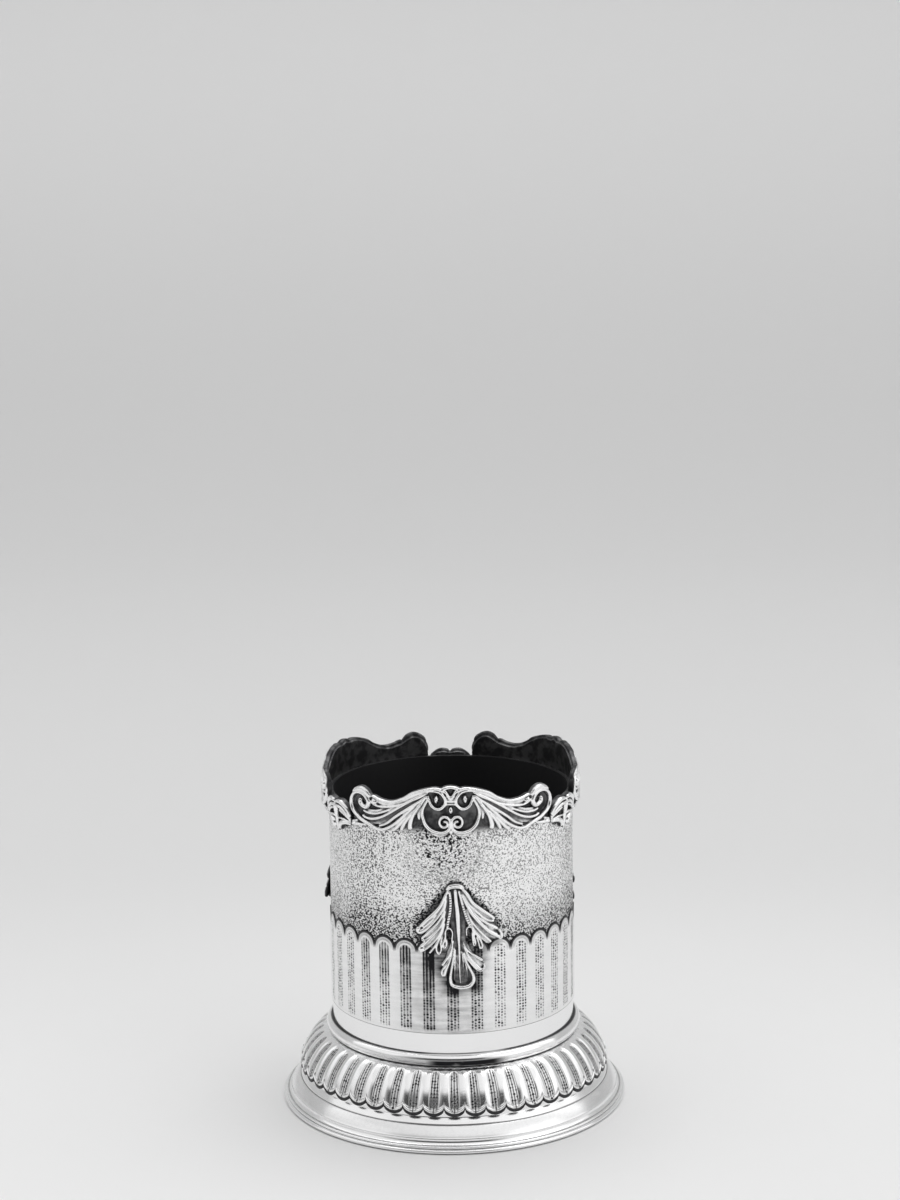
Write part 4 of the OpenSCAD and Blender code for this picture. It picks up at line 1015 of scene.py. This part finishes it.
class WallSizes(bpy.types.PropertyGroup):
    pits: number("Pits per metre", "How fine the grain is", 1450.0)
    coarse_pits: number("Coarse pits per metre", "How fine the grain is above the leaves", 1150.0)
    cover: share("Cover", "How thick the grain's pits are", 0.3)


class LappetSizes(bpy.types.PropertyGroup):
    groove_in: length("Groove distance", "Distance of the groove's middle from the arch's edge", 0.85)
    groove_w: length("Groove width", "Width of the groove under an arch", 1.15)
    groove_depth: length("Groove depth", "Depth of the groove under an arch", 0.16)
    row_gap: length("Row gap", "Distance between rows of dots on a lappet", 1.16)
    dot_gap: length("Dot gap", "Distance between dots in a row", 0.98)
    dot: length("Dot size", "Size of a punched dot", 0.76)


class CastingSizes(bpy.types.PropertyGroup):
    voxel: length("Skin size", "Finest detail of the castings' skin", 0.2)
    leaf_voxel: length("Leaf skin size", "Finest detail of the leaves' skin", 0.17)
    lobe_lift: length("Lobe lift", "How far the leaf's side lobes stand off the wall", 1.5)
    tip_lift: length("Tip lift", "How far the leaf's lower tip stands off the wall", 0.9)


class StageLook(bpy.types.PropertyGroup):
    floor: colour("Floor", "Colour of the floor and backdrop", (0.84, 0.84, 0.84))
    sky: number("Surroundings", "Brightness of the surroundings", 1.17)
    lamps: number("Lamps", "Brightness of the soft boxes", 1.0)


# Turned and pressed pieces


def foot_wire():
    """The wire rolled round the foot's edge."""
    r, high = radius_of("foot_edge_wire"), top_of("foot_edge_wire")
    inner = r - WIRE_W
    corners = [
        (inner, 0.02, 0), (r - 0.75, 0.02, 0.2), (r - 0.12, 0.42, 0.3), (r, 0.95, 0.4),
        (r - 0.3, high - 0.1, 0.4), (r - 0.85, high, 0.2), (inner, high, 0),
    ]

    def dark(radius, z):
        # Painted contact shadow along the wire's underside, and dark on the inner part of its top under the
        # bead
        under = np.where(z < 0.4, 0.75 - z, 0)
        return np.clip(under + smoothstep(r - 1.0, r - 1.35, radius) * (z > 0.9), 0, 1)

    return turned(
        "foot_edge_wire_rolled", rounded(corners, 0.2),
        "foot_edge_wire", polished_silver(), dark,
    )


def foot_mouldings():
    """Bead, hollow moulding, swollen slope and neck, spun in one sheet."""
    sizes = bpy.context.scene.coaster_foot
    wire_r, wire_top = radius_of("foot_edge_wire"), top_of("foot_edge_wire")
    top = top_of("foot_moulding")
    neck = 51.95
    band = neck + 0.2 + sizes.neck_proud / MM
    outer = [(wire_r - WIRE_W, wire_top, 0), (wire_r - 1.62, wire_top, 0)]
    outer += arc(wire_r - 1.5, wire_top + 0.45, 0.45, 0.45, -80, 92, 14)
    cove_r, cove_z = wire_r - 3.0, wire_top + 2.6
    outer += arc(wire_r - 1.65, cove_z + 0.02, wire_r - 1.65 - cove_r, 1.66, 268, 182, 12)
    outer += [(cove_r - 0.03, cove_z + 0.2, 0)]
    start, end = np.array((cove_r - 0.12, cove_z + 0.3)), np.array((band + 1.05, 7.75))
    swell = np.array([end[1] - start[1], start[0] - end[0]])
    swell = swell / np.linalg.norm(swell) * sizes.bulge / MM
    for t in np.linspace(0, 1, 14):
        outer.append((*((1 - t) * start + t * end + swell * 4 * t * (1 - t)), 0))
    outer += [(band + 0.83, 7.85, 0.05), (band + 0.75, 8.15, 0.1), (band - 0.75, 10.0, 0.3)]
    outer += [(band - 0.9, top - 0.4, 0.2), (neck, top, 0.05)]
    outer += [(neck - 1.0, top, 0.05), (neck - 1.0, 7.0, 0), (56.0, cove_z - 0.2, 0)]
    corners = rounded(outer, 0.05, 3)
    sides = zip(corners, np.roll(corners, -1, 0))
    counts = [(a, b, max(1, int(np.hypot(*(b - a)) / SPUN_STEP))) for a, b in sides]
    profile = np.concatenate([np.linspace(a, b, count, endpoint=False) for a, b, count in counts])

    def dark(r, z):
        crease_at = np.exp(-(((r - (wire_r - 1.55)) ** 2 + (z - wire_top) ** 2) / 0.12))
        crease_at += np.exp(-((z - (wire_top + 0.98)) / 0.1) ** 2) * (r > wire_r - 2.1) * 0.55
        crease_at += np.exp(-(((r - cove_r) ** 2 + (z - cove_z - 0.1) ** 2) / 0.02)) * 0.5
        crease_at += np.exp(-(((r - band - 0.93) ** 2 + (z - 7.87) ** 2) / 0.03))
        crease_at += smoothstep(cove_z + 0.3, cove_z + 0.8, z) * smoothstep(7.8, 7.6, z) * 0.21
        # Painted shadow at the top of the neck, under the dome's lip
        crease_at += smoothstep(top - 0.4, top - 0.1, z)
        return np.clip(crease_at, 0, 1)

    return turned("foot_mouldings_spun", profile, "foot_moulding", spun_silver(), dark)


def round_columns(repeats, columns):
    """For every column round the coaster, its place in its own repeat (-0.5 to 0.5) and its angle."""
    u = np.tile(columns, repeats)
    return u, (np.repeat(np.arange(repeats), len(columns)) + u) * 2 * math.pi / repeats


def upright(turn, r, z):
    """Points at each angle from tables of radius and height, one row per column."""
    turn = turn[:, None]
    return np.stack([r * np.sin(turn), -r * np.cos(turn), z], -1).reshape(-1, 3)


def flute_columns():
    """Where the columns of one flute lie, -0.5 to 0.5 of its width, closer at the channel's sides."""
    edge = bpy.context.scene.coaster_dome.channel / 2
    right = [0.06, 0.12, 0.17, edge - 0.03, edge - 0.012, edge + 0.006, edge + 0.026, 0.3, 0.37, 0.43, 0.472]
    return np.array([-0.5] + [-u for u in reversed(right)] + [0] + right)


def dome():
    """The fluted dome: sunk channels between lands, and a rolled lip along the scalloped edge."""
    sizes = bpy.context.scene.coaster_dome
    shoulder_r, shoulder_z = radius_of("collar_ring"), bottom_of("collar_ring")
    edge_r, edge_z = 54.0, bottom_of("fluted_dome")
    # How round the dome's section is, and how far the cusps between the scallops rise
    power = 1.6
    rise_of_cusp = 2.4
    flute_depth = 0.46
    ledge_r = 42.2
    rows = 74
    u, turn = round_columns(FLUTES, flute_columns())
    aside = np.abs(u)[:, None]
    lobe = 1 - np.sqrt(np.clip(1 - (np.abs(u) * 2) ** 2, 0, 1))
    high = shoulder_z - edge_z
    end = np.arccos((rise_of_cusp * lobe**0.95 / high) ** (power / 2))[:, None]

    def curve(start_r, reach_r, base_z, angle):
        """Radius and height along the dome's rounded section."""
        across, up = np.sin(angle), np.clip(np.cos(angle), 0, 1)
        return start_r + reach_r * across ** (2 / power), base_z + high * up ** (2 / power)

    # The section from the shoulder down to the scalloped edge, and the distance run along it
    t = np.linspace(0, 1, rows)[None] ** 0.93
    r, z = curve(shoulder_r, edge_r - shoulder_r, edge_z, end * t)
    step = np.sqrt(np.diff(r, axis=1) ** 2 + np.diff(z, axis=1) ** 2)
    down = np.concatenate([np.zeros((len(u), 1)), np.cumsum(step, axis=1)], 1)
    left = down[:, -1:] - down
    # The direction in which the sheet is pressed in
    out_r, out_z = r - shoulder_r * 0.9, (z - edge_z) + 0.01
    size = np.hypot(out_r, out_z)
    out_r, out_z = out_r / size, out_z / size
    # Channels with rounded ends, and banks that fall to them from the middle of each land
    width = sizes.channel / 2
    share_down = np.clip((down - 1.3) / (down[:, -1:] - 2.5), 0, 1)
    shape = np.clip(1 - np.abs(2 * share_down - 1) ** 7, 0, 1)
    side = (width * np.sqrt(shape) - aside) * 2 * math.pi * r / FLUTES
    inside = smoothstep(-0.1, 0.12, side)
    fade = np.sin(math.pi * t) ** 0.45
    bank = np.clip((0.5 - aside) / (0.5 - width), 0, 1)
    step_down = sizes.channel_depth / MM
    depth = fade * (flute_depth - step_down) * bank**1.7 + inside * step_down * np.minimum(1, fade * 1.3)
    # The rolled lip, the hollow above it and the edge turned in below it
    lip = sizes.lip / MM
    turned_in = 1.2
    above_lip = left - turned_in - lip
    bead = np.sqrt(np.clip(1 - ((above_lip + lip / 2) / (lip / 2)) ** 2, 0, 1)) * 0.3
    hollow = np.exp(-(((above_lip - 0.2) / 0.2) ** 2)) * 0.1 + smoothstep(0.5, 0, left) * 0.3
    r, z = r - out_r * (depth + hollow - bead), z - out_z * (depth + hollow - bead)
    # Dark along the channels' sides and in the hollow above the lip, partly oxide and partly painted shade;
    # the edge turned in under the lip is black as a painted shadow
    recess = np.exp(-((side / 0.13) ** 2)) * (shape > 0) * 0.55
    recess = recess + np.exp(-(((above_lip - 0.1) / 0.15) ** 2)) * 0.6
    recess = np.clip(recess + smoothstep(turned_in + 0.12, turned_in - 0.12, left), 0, 1)
    channel = smoothstep(0.15, 0.4, side)
    # The back of the sheet, and the ledge that sits under the collar
    under_t = np.array([1.0, 0.93, 0.8, 0.6, 0.4, 0.2])[None]
    under_r, under_z = curve(shoulder_r - 0.9, edge_r - 0.2 - shoulder_r, edge_z - 0.45, end * under_t)
    under_z = under_z + np.where(under_t == 1, 0.5, 0)
    ledge = np.ones((len(u), 1))
    r = np.concatenate([r, under_r, ledge * ledge_r, ledge * ledge_r], 1)
    z = np.concatenate([z, under_z, ledge * (shoulder_z - 1.0), ledge * shoulder_z], 1)
    extra = r.shape[1] - rows

    def whole(values, rest):
        """A column's values with one more for each row under the dome."""
        return np.concatenate([values, np.full((len(u), extra), rest)], 1).ravel()

    # The rows under the dome are black: a painted shadow under the lip
    piece = new_piece(
        "dome_fluted", upright(turn, r, z), ring_grid(len(u), r.shape[1]),
        "fluted_dome", fluted_silver(), whole(recess, 1.0), 50,
    )
    for label, values in (("down", whole(down, 0.0)), ("channel", whole(channel, 0.0))):
        set_attribute(piece.data, label, values)
    return piece


def collar():
    """The half-round ring at the foot of the wall."""
    r, low, high = radius_of("collar_ring"), bottom_of("collar_ring"), top_of("collar_ring")
    bulge = [p[:2] for p in arc(SEAT_R, (low + high) / 2, r - SEAT_R, (high - low) / 2, -88, 88, 28)]

    def dark(_, z):
        return np.clip(smoothstep(low + 0.35, low, z) + smoothstep(high - 0.28, high, z), 0, 1)

    profile = [(SEAT_R, low)] + bulge + [(SEAT_R, high)]
    return turned("collar_half_round", profile, "collar_ring", collar_silver(), dark)


def wall():
    """The wall's sheet, whose grain is in its finish."""
    r, low, high = radius_of("body_wall"), bottom_of("body_wall"), top_of("body_wall")
    inner = 41.05
    sheet = [(r, z) for z in np.linspace(low, high - 0.2, 40)]
    profile = [(inner, low)] + sheet + [(r - 0.15, high), (inner, high)]
    return turned(
        "wall_grained", profile, "body_wall", grained_silver(), lambda _, z: 0 * z
    )


def lappets():
    """The band of arched lappets, each with a groove under its arch."""
    sizes = bpy.context.scene.coaster_lappets
    r, low, tip = radius_of("lappet_band"), bottom_of("lappet_band"), top_of("lappet_band")
    # Each arch is part of a circle over half a lappet's width on either side
    half = math.pi * (SEAT_R - 0.05) / LAPPETS
    rise = 3.1
    arch = (half**2 + rise**2) / (2 * rise)
    middle = tip + 0.1 - arch
    even = np.linspace(-0.5, 0.5, 33)[:-1]
    u, turn = round_columns(LAPPETS, np.sin(even * math.pi) * 0.35 + even * 0.3)
    x = u * 2 * half
    top = middle + np.sqrt(np.clip(arch**2 - x**2, 0, None))
    below = np.concatenate([np.linspace(0, 1.8, 22), np.linspace(2.0, 4.6, 16), np.linspace(6, 28, 7)])
    foot = np.tile([low + 0.45, low + 0.08, low], (len(u), 1))
    z = np.concatenate([top[:, None] - below[None], foot], 1)
    # Distance inside the arch, and the groove that follows it
    far = arch - np.hypot(x[:, None], np.maximum(z - middle, 0))
    upper = smoothstep(middle - 1.2, middle + 0.6, z)
    width, deep, mid = sizes.groove_w / MM, sizes.groove_depth / MM, sizes.groove_in / MM
    out = r - 0.02 - np.exp(-(((far - mid) / (width / 2)) ** 2)) * upper * deep
    out[:, [0, -1]] -= 0.12
    recess = smoothstep(half * 0.72, half, np.abs(x))[:, None] * upper * smoothstep(4.0, 2.2, far) * 0.8
    # The arched top edge is black as a painted shadow in its undercut; the foot rows are dark too
    recess[:, [0, -1]] = 1
    recess[:, -2] = 0.8
    # The back of the sheet, against the wall
    r_all = np.concatenate([out, np.full((len(u), 2), SEAT_R - 0.03)], 1)
    z_all = np.concatenate([z, np.full((len(u), 1), low), top[:, None]], 1)
    recess = np.concatenate([recess, np.ones((len(u), 2))], 1)
    return new_piece(
        "lappets_applied", upright(turn, r_all, z_all), ring_grid(len(u), r_all.shape[1]),
        "lappet_band", lappet_silver(), recess.ravel(), 40,
    )


# Castings


def from_degrees(edge):
    """A path given in degrees and height, in flat millimetres."""
    return [(degrees * DEGREE, up) for degrees, up in edge]


def both_halves(table, fuller):
    """Strands of a casting drawn from its right half, in flat millimetres. Fuller adds to their widths."""
    solids = []
    for path, widths, heights in table:
        solid = strand(from_degrees(path), [v + fuller for v in widths], heights)
        solids += [solid, mirrored(solid)]
    return solids


def ground_slab(low_edge, top_edge):
    """The sunk ground of a casting between its two edges, both drawn from the right half."""
    rights = from_degrees(low_edge), from_degrees(top_edge)
    low, top = ([(-x, up) for x, up in reversed(right[1:])] + right for right in rights)
    return slab(low, top, GROUND)


def fine(size):
    return size * 1 / MM


def rim_castings(kind, table, low_edge, top_edge, fuller, turns):
    """The castings of one kind, the same all round, each wrapped on the wall at its own turn."""
    solids = both_halves(table, fuller) + [ground_slab(low_edge, top_edge)]
    mesh = fused(kind, solids, fine(bpy.context.scene.coaster_castings.voxel))
    flat = flat_points(mesh)
    place_castings(kind, flat, SEAT_R, mesh, "rim_" + kind, recess_of(flat, GROUND), turns)


def place_castings(kind, flat, seat_r, mesh, node, recess, turns):
    """Wraps a flat casting on the wall at each of its turns."""
    for side, turn in turns.items():
        copy = wrapped(flat, seat_r, turn, mesh)
        name = f"{kind}_casting_{side}"
        finish_piece(name, copy, f"{node}_{side}", cast_silver(), recess, 0)
    bpy.data.meshes.remove(mesh)


def scrolls():
    rim_castings("scroll", SCROLL_STRANDS, SCROLL_LOW_EDGE, SCROLL_TOP_EDGE, 0.35, CASTINGS)


def husks():
    rim_castings("husk", HUSK_STRANDS, HUSK_LOW_EDGE, HUSK_TOP_EDGE, 0.2, HUSKS)


def leaf_solids():
    """Broad low sheets with the ridges of the lobes, the stems and the rim on them."""
    solids = []
    for path, widths in LEAF_SHEETS:
        full = 0.5 if path[0][0] == 0 else 1
        line = [(x, -d) for x, d in path]
        heights = (0.5 * full, 0.62 * full, 0.55 * full)
        solids.append(strand(line, widths, heights, base=0.35, sink=0.3, step=0.5))
    for path, widths, heights in LEAF_RIDGES:
        line = [(x, -d) for x, d in path]
        fuller, lower = [v * 1.12 + 0.04 for v in widths], [h * 0.9 for h in heights]
        solids.append(strand(line, fuller, lower, base=0.5, sink=0.35))
    return solids


def leaves():
    """The three leaves, cast in one shape, leaning a little, with lobes and tip bent off the wall."""
    sizes = bpy.context.scene.coaster_castings
    mesh = fused("leaf", leaf_solids(), fine(sizes.leaf_voxel))
    flat = flat_points(mesh)
    recess = recess_of(flat, 0.3, spreads=(0.4, 0.8), depth=0.4)
    x, d = flat[:, 0], -flat[:, 1]
    # Dark gaps between the beads of the two stems, then the hollow of the tongue
    for stem_d, stem_x in (((4, 9, 14.6), (-1.9, -2.3, -3.5)), ((7, 10, 14.6), (2.1, 2.8, 4.1))):
        on_stem = smoothstep(0.75, 0.5, np.abs(x - np.interp(d, stem_d, stem_x)))
        on_stem = on_stem * (d > stem_d[0]) * (d < stem_d[-1])
        beads = smoothstep(0.1, 0.7, np.sin(2 * math.pi * (d + 0.25 * x) / BEAD_PITCH))
        recess = np.maximum(recess, on_stem * beads * 0.8)
    tongue = smoothstep(3.2, 2.4, np.abs(x - 0.012 * d)) * smoothstep(3.0, 8.0, d) * smoothstep(34.9, 34.2, d)
    recess = np.maximum(recess, tongue * smoothstep(1.2, 0.85, flat[:, 2]) * 0.76)
    lift = smoothstep(1.5, 13.0, np.abs(x)) * sizes.lobe_lift / MM
    lift = lift + smoothstep(14.0, 35.0, d) * sizes.tip_lift / MM
    lean, aside = math.radians(3), 1.4 * DEGREE
    placed = np.stack([
        x * math.cos(lean) + d * math.sin(lean) + aside,
        top_of("leaf_front") - d * math.cos(lean) + x * math.sin(lean),
        flat[:, 2] + lift,
    ], -1)
    place_castings("leaf", placed, SEAT_R + 0.05, mesh, "leaf", recess, CASTINGS)


# Inside and base: the CAD solids stay and get their finishes


def dress(node, material):
    """Gives a CAD solid its finish."""
    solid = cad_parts[node]
    solid.data.materials.clear()
    solid.data.materials.append(material)


def inside():
    dress("wall_lining", cloth("lining_finish", (0.012, 0.012, 0.013), 0.01, 700.0, 0.55))
    dress("floor_pad", cloth("pad_finish", (0.02, 0.02, 0.022), 0.12, 2600.0))
    dress("floor_plate", polished_silver())


def base():
    dress("base_plate", polished_silver())
    dress("base_felt", cloth("felt_finish", (0.024, 0.028, 0.026), 0.16, 2200.0))


# Stage


def paper(look):
    """The floor's paper. Its tone changes from place to place with painted light and shade, because the
    silver mirrors it.
    """
    material, w, shader = new_material("floor_paper")
    place = w.place()
    x, y, z = w.split(place)
    tone = w.mix(w.noise(place, 30.0, 3.0), shade(look.floor, 0.99), shade(look.floor))
    reach = w.distance(x, y)
    # Painted shade far off to the left and far off in front
    far = w.most(w.ramp(x, -0.2, -0.6), w.ramp(reach, 0.7, 1.4) * w.ramp(y, 0.3, -0.3))
    # Painted light: brighter places in front, on the right and near the left of the coaster
    ahead = w.ramp(y, -0.1, -0.22) * w.ramp(x, -0.15, 0.12, 0.25, 1.0)
    beside = w.ramp(x, 0.22, 0.42) * w.ramp(y, 0.75, 0.4)
    patch = w.ramp(w.most(abs(x + 0.33), abs(y + 0.4)), 0.25, 0.1)
    # Each mask with what it multiplies the floor's colour by, laid over the ones before it: painted shade
    # behind and far off, painted shade far in front, the painted light, and painted light higher up the
    # backdrop
    parts = (
        (w.most(w.ramp(y, -0.02, 0.3), far), 0.85),
        (w.ramp(y, -1.0, -8.5), 0.73),
        (w.most(ahead, beside, patch) * w.ramp(reach, 1.1, 0.65), 1.13),
        (w.ramp(z, 0.02, 0.45), 1.06),
    )
    for mask, factor in parts:
        tone = w.mix(mask, tone, shade(look.floor, factor))
    w.feed(shader.inputs["Base Color"], tone)
    shader.inputs["Roughness"].default_value = 0.9
    shader.inputs["Specular IOR Level"].default_value = 0.1
    return material


def backdrop(look):
    """A floor that sweeps up into a backdrop behind the coaster."""
    wide, front, foot, radius, high = 9.0, -9.0, 1.1, 0.9, 3.2
    line = [(front, 0.0), (-0.4, 0.0), (0.4, 0.0), (foot, 0.0)]
    angles = np.linspace(0.1, math.pi / 2, 14)
    line += [(foot + radius * math.sin(a), radius - radius * math.cos(a)) for a in angles]
    line += [(foot + radius, high)]
    points = [(x, y, z) for y, z in line for x in (-wide, wide)]
    faces = [(2 * i, 2 * i + 1, 2 * i + 3, 2 * i + 2) for i in range(len(line) - 1)]
    mesh = bpy.data.meshes.new("floor_sweep")
    mesh.from_pydata(points, [], faces)
    mesh.shade_smooth()
    mesh.materials.append(paper(look))
    sweep = bpy.data.objects.new("floor_sweep", mesh)
    bpy.context.scene.collection.objects.link(sweep)


def soft_box(name, place, size, strength):
    """A soft lamp that looks at the coaster. Strength is its brightness, where 1 is white."""
    light = bpy.data.lights.new(name, "AREA")
    light.shape = "RECTANGLE"
    light.size, light.size_y = size
    light.energy = strength * math.pi * size[0] * size[1]
    lamp = bpy.data.objects.new(name, light)
    bpy.context.scene.collection.objects.link(lamp)
    lamp.location = place
    middle = Vector((0, 0, 0.06))
    lamp.rotation_euler = (middle - Vector(place)).to_track_quat("-Z", "Y").to_euler()
    lamp.visible_camera = False


def surroundings(look):
    """A pale room, brighter behind, with a dark patch ahead that darkens the front reflections."""
    world = bpy.data.worlds.new("soft_room")
    bpy.context.scene.world = world
    world.use_nodes = True
    w = Wiring(world.node_tree)
    shader = world.node_tree.nodes["Background"]
    x, y, z = w.split(w.place("Generated"))
    up = w.ramp(z, -0.05, 0.7, 0.7, 1.0)
    side = w.ramp(x, -0.9, 0.7, 0.8, 1.02) * w.ramp(y, -0.05, 0.45, 0.84, 1.25)
    # The dark patch: a sector ahead, a little above the floor
    turn = x / abs(y)
    ahead = w.ramp(turn, -1.5, -0.3) * w.ramp(turn, 0.8, 0.4) * w.math("LESS_THAN", y, 0.0)
    gloom = ahead * (w.ramp(z, 0.08, 0.16) * w.ramp(z, 0.7, 0.56))
    light = up * side * (1.0 - gloom * 0.93)
    w.feed(shader.inputs["Color"], w.join(light, light, light))
    shader.inputs["Strength"].default_value = look.sky


def stage():
    look = bpy.context.scene.coaster_stage
    backdrop(look)
    surroundings(look)
    soft_box("soft_box_left", (-1.7, -0.5, 1.1), (1.4, 1.2), look.lamps * 0.12)
    soft_box("soft_box_right", (1.6, -0.8, 0.9), (1.3, 1.3), look.lamps * 0.28)
    soft_box("soft_box_top", (0.1, 0.4, 1.7), (1.3, 0.8), look.lamps * 1.8)
    # The camera that was fitted to the photograph
    lens = bpy.data.cameras.new("photo_view")
    lens.lens, lens.sensor_width, lens.shift_x = 73.557, 36, 0.00157
    lens.clip_start, lens.clip_end = 0.05, 30
    eye = bpy.data.objects.new("photo_view", lens)
    bpy.context.scene.collection.objects.link(eye)
    tilt = Matrix.Rotation(math.radians(79.422), 4, "X") @ Matrix.Rotation(math.radians(-0.724), 4, "Z")
    eye.matrix_world = Matrix.Translation((0, -0.8196, 0.3278)) @ tilt
    bpy.context.scene.camera = eye
    bpy.context.scene.view_settings.view_transform = "Standard"


# Operators, panel and registration


class COASTER_OT_foot(bpy.types.Operator):
    """Turns the foot: its edge wire and its spun mouldings"""

    bl_idname = "coaster.foot"
    bl_label = "Foot"

    def execute(self, context):
        foot_wire()
        foot_mouldings()
        return {"FINISHED"}


class COASTER_OT_dome(bpy.types.Operator):
    """Presses the fluted dome with its scalloped lip"""

    bl_idname = "coaster.dome"
    bl_label = "Fluted dome"

    def execute(self, context):
        dome()
        return {"FINISHED"}


class COASTER_OT_wall(bpy.types.Operator):
    """Makes the grained wall and the half-round collar at its foot"""

    bl_idname = "coaster.wall"
    bl_label = "Wall and collar"

    def execute(self, context):
        collar()
        wall()
        return {"FINISHED"}


class COASTER_OT_lappets(bpy.types.Operator):
    """Applies the band of arched lappets to the wall"""

    bl_idname = "coaster.lappets"
    bl_label = "Lappet band"

    def execute(self, context):
        lappets()
        return {"FINISHED"}


class COASTER_OT_scrolls(bpy.types.Operator):
    """Casts the three scroll castings of the rim"""

    bl_idname = "coaster.scrolls"
    bl_label = "Scroll castings"

    def execute(self, context):
        scrolls()
        return {"FINISHED"}


class COASTER_OT_husks(bpy.types.Operator):
    """Casts the husks that cover the joints of the rim"""

    bl_idname = "coaster.husks"
    bl_label = "Husks over the joints"

    def execute(self, context):
        husks()
        return {"FINISHED"}


class COASTER_OT_leaves(bpy.types.Operator):
    """Casts the three acanthus leaves and bends them off the wall"""

    bl_idname = "coaster.leaves"
    bl_label = "Acanthus leaves"

    def execute(self, context):
        leaves()
        return {"FINISHED"}


class COASTER_OT_inside(bpy.types.Operator):
    """Finishes the well: its lining, pad and floor plate"""

    bl_idname = "coaster.inside"
    bl_label = "Well lining and pad"

    def execute(self, context):
        inside()
        return {"FINISHED"}


class COASTER_OT_base(bpy.types.Operator):
    """Finishes the base plate and its felt"""

    bl_idname = "coaster.base"
    bl_label = "Base plate and felt"

    def execute(self, context):
        base()
        return {"FINISHED"}


class COASTER_OT_stage(bpy.types.Operator):
    """Sets up the floor, the soft lamps and the camera"""

    bl_idname = "coaster.stage"
    bl_label = "Stage"

    def execute(self, context):
        stage()
        return {"FINISHED"}


OPERATORS = (
    COASTER_OT_foot, COASTER_OT_dome, COASTER_OT_wall, COASTER_OT_lappets, COASTER_OT_scrolls,
    COASTER_OT_husks, COASTER_OT_leaves, COASTER_OT_inside, COASTER_OT_base, COASTER_OT_stage,
)
SETTINGS = {
    "coaster_silver": SilverLook,
    "coaster_foot": FootSizes,
    "coaster_dome": DomeSizes,
    "coaster_wall": WallSizes,
    "coaster_lappets": LappetSizes,
    "coaster_castings": CastingSizes,
    "coaster_stage": StageLook,
}


class COASTER_PT_pieces(bpy.types.Panel):
    """Lists the coaster's sizes, colours and pieces"""

    bl_idname = "COASTER_PT_pieces"
    bl_label = "Wine Bottle Coaster"
    bl_space_type = "VIEW_3D"
    bl_region_type = "UI"
    bl_category = "Coaster"

    def draw(self, context):
        for label, group in SETTINGS.items():
            box = self.layout.box()
            for prop in group.__annotations__:
                box.prop(getattr(context.scene, label), prop)
        for operator in OPERATORS:
            self.layout.operator(operator.bl_idname)


def register():
    for group in SETTINGS.values():
        bpy.utils.register_class(group)
    for operator in OPERATORS:
        bpy.utils.register_class(operator)
    bpy.utils.register_class(COASTER_PT_pieces)
    for label, group in SETTINGS.items():
        setattr(bpy.types.Scene, label, bpy.props.PointerProperty(type=group))


def unregister():
    for label in SETTINGS:
        delattr(bpy.types.Scene, label)
    for group in (COASTER_PT_pieces, *reversed(OPERATORS), *reversed(tuple(SETTINGS.values()))):
        bpy.utils.unregister_class(group)


def main():
    register()
    for operator in OPERATORS:
        _, action = operator.bl_idname.split(".")
        getattr(bpy.ops.coaster, action)()


if __name__ == "__main__":
    main()
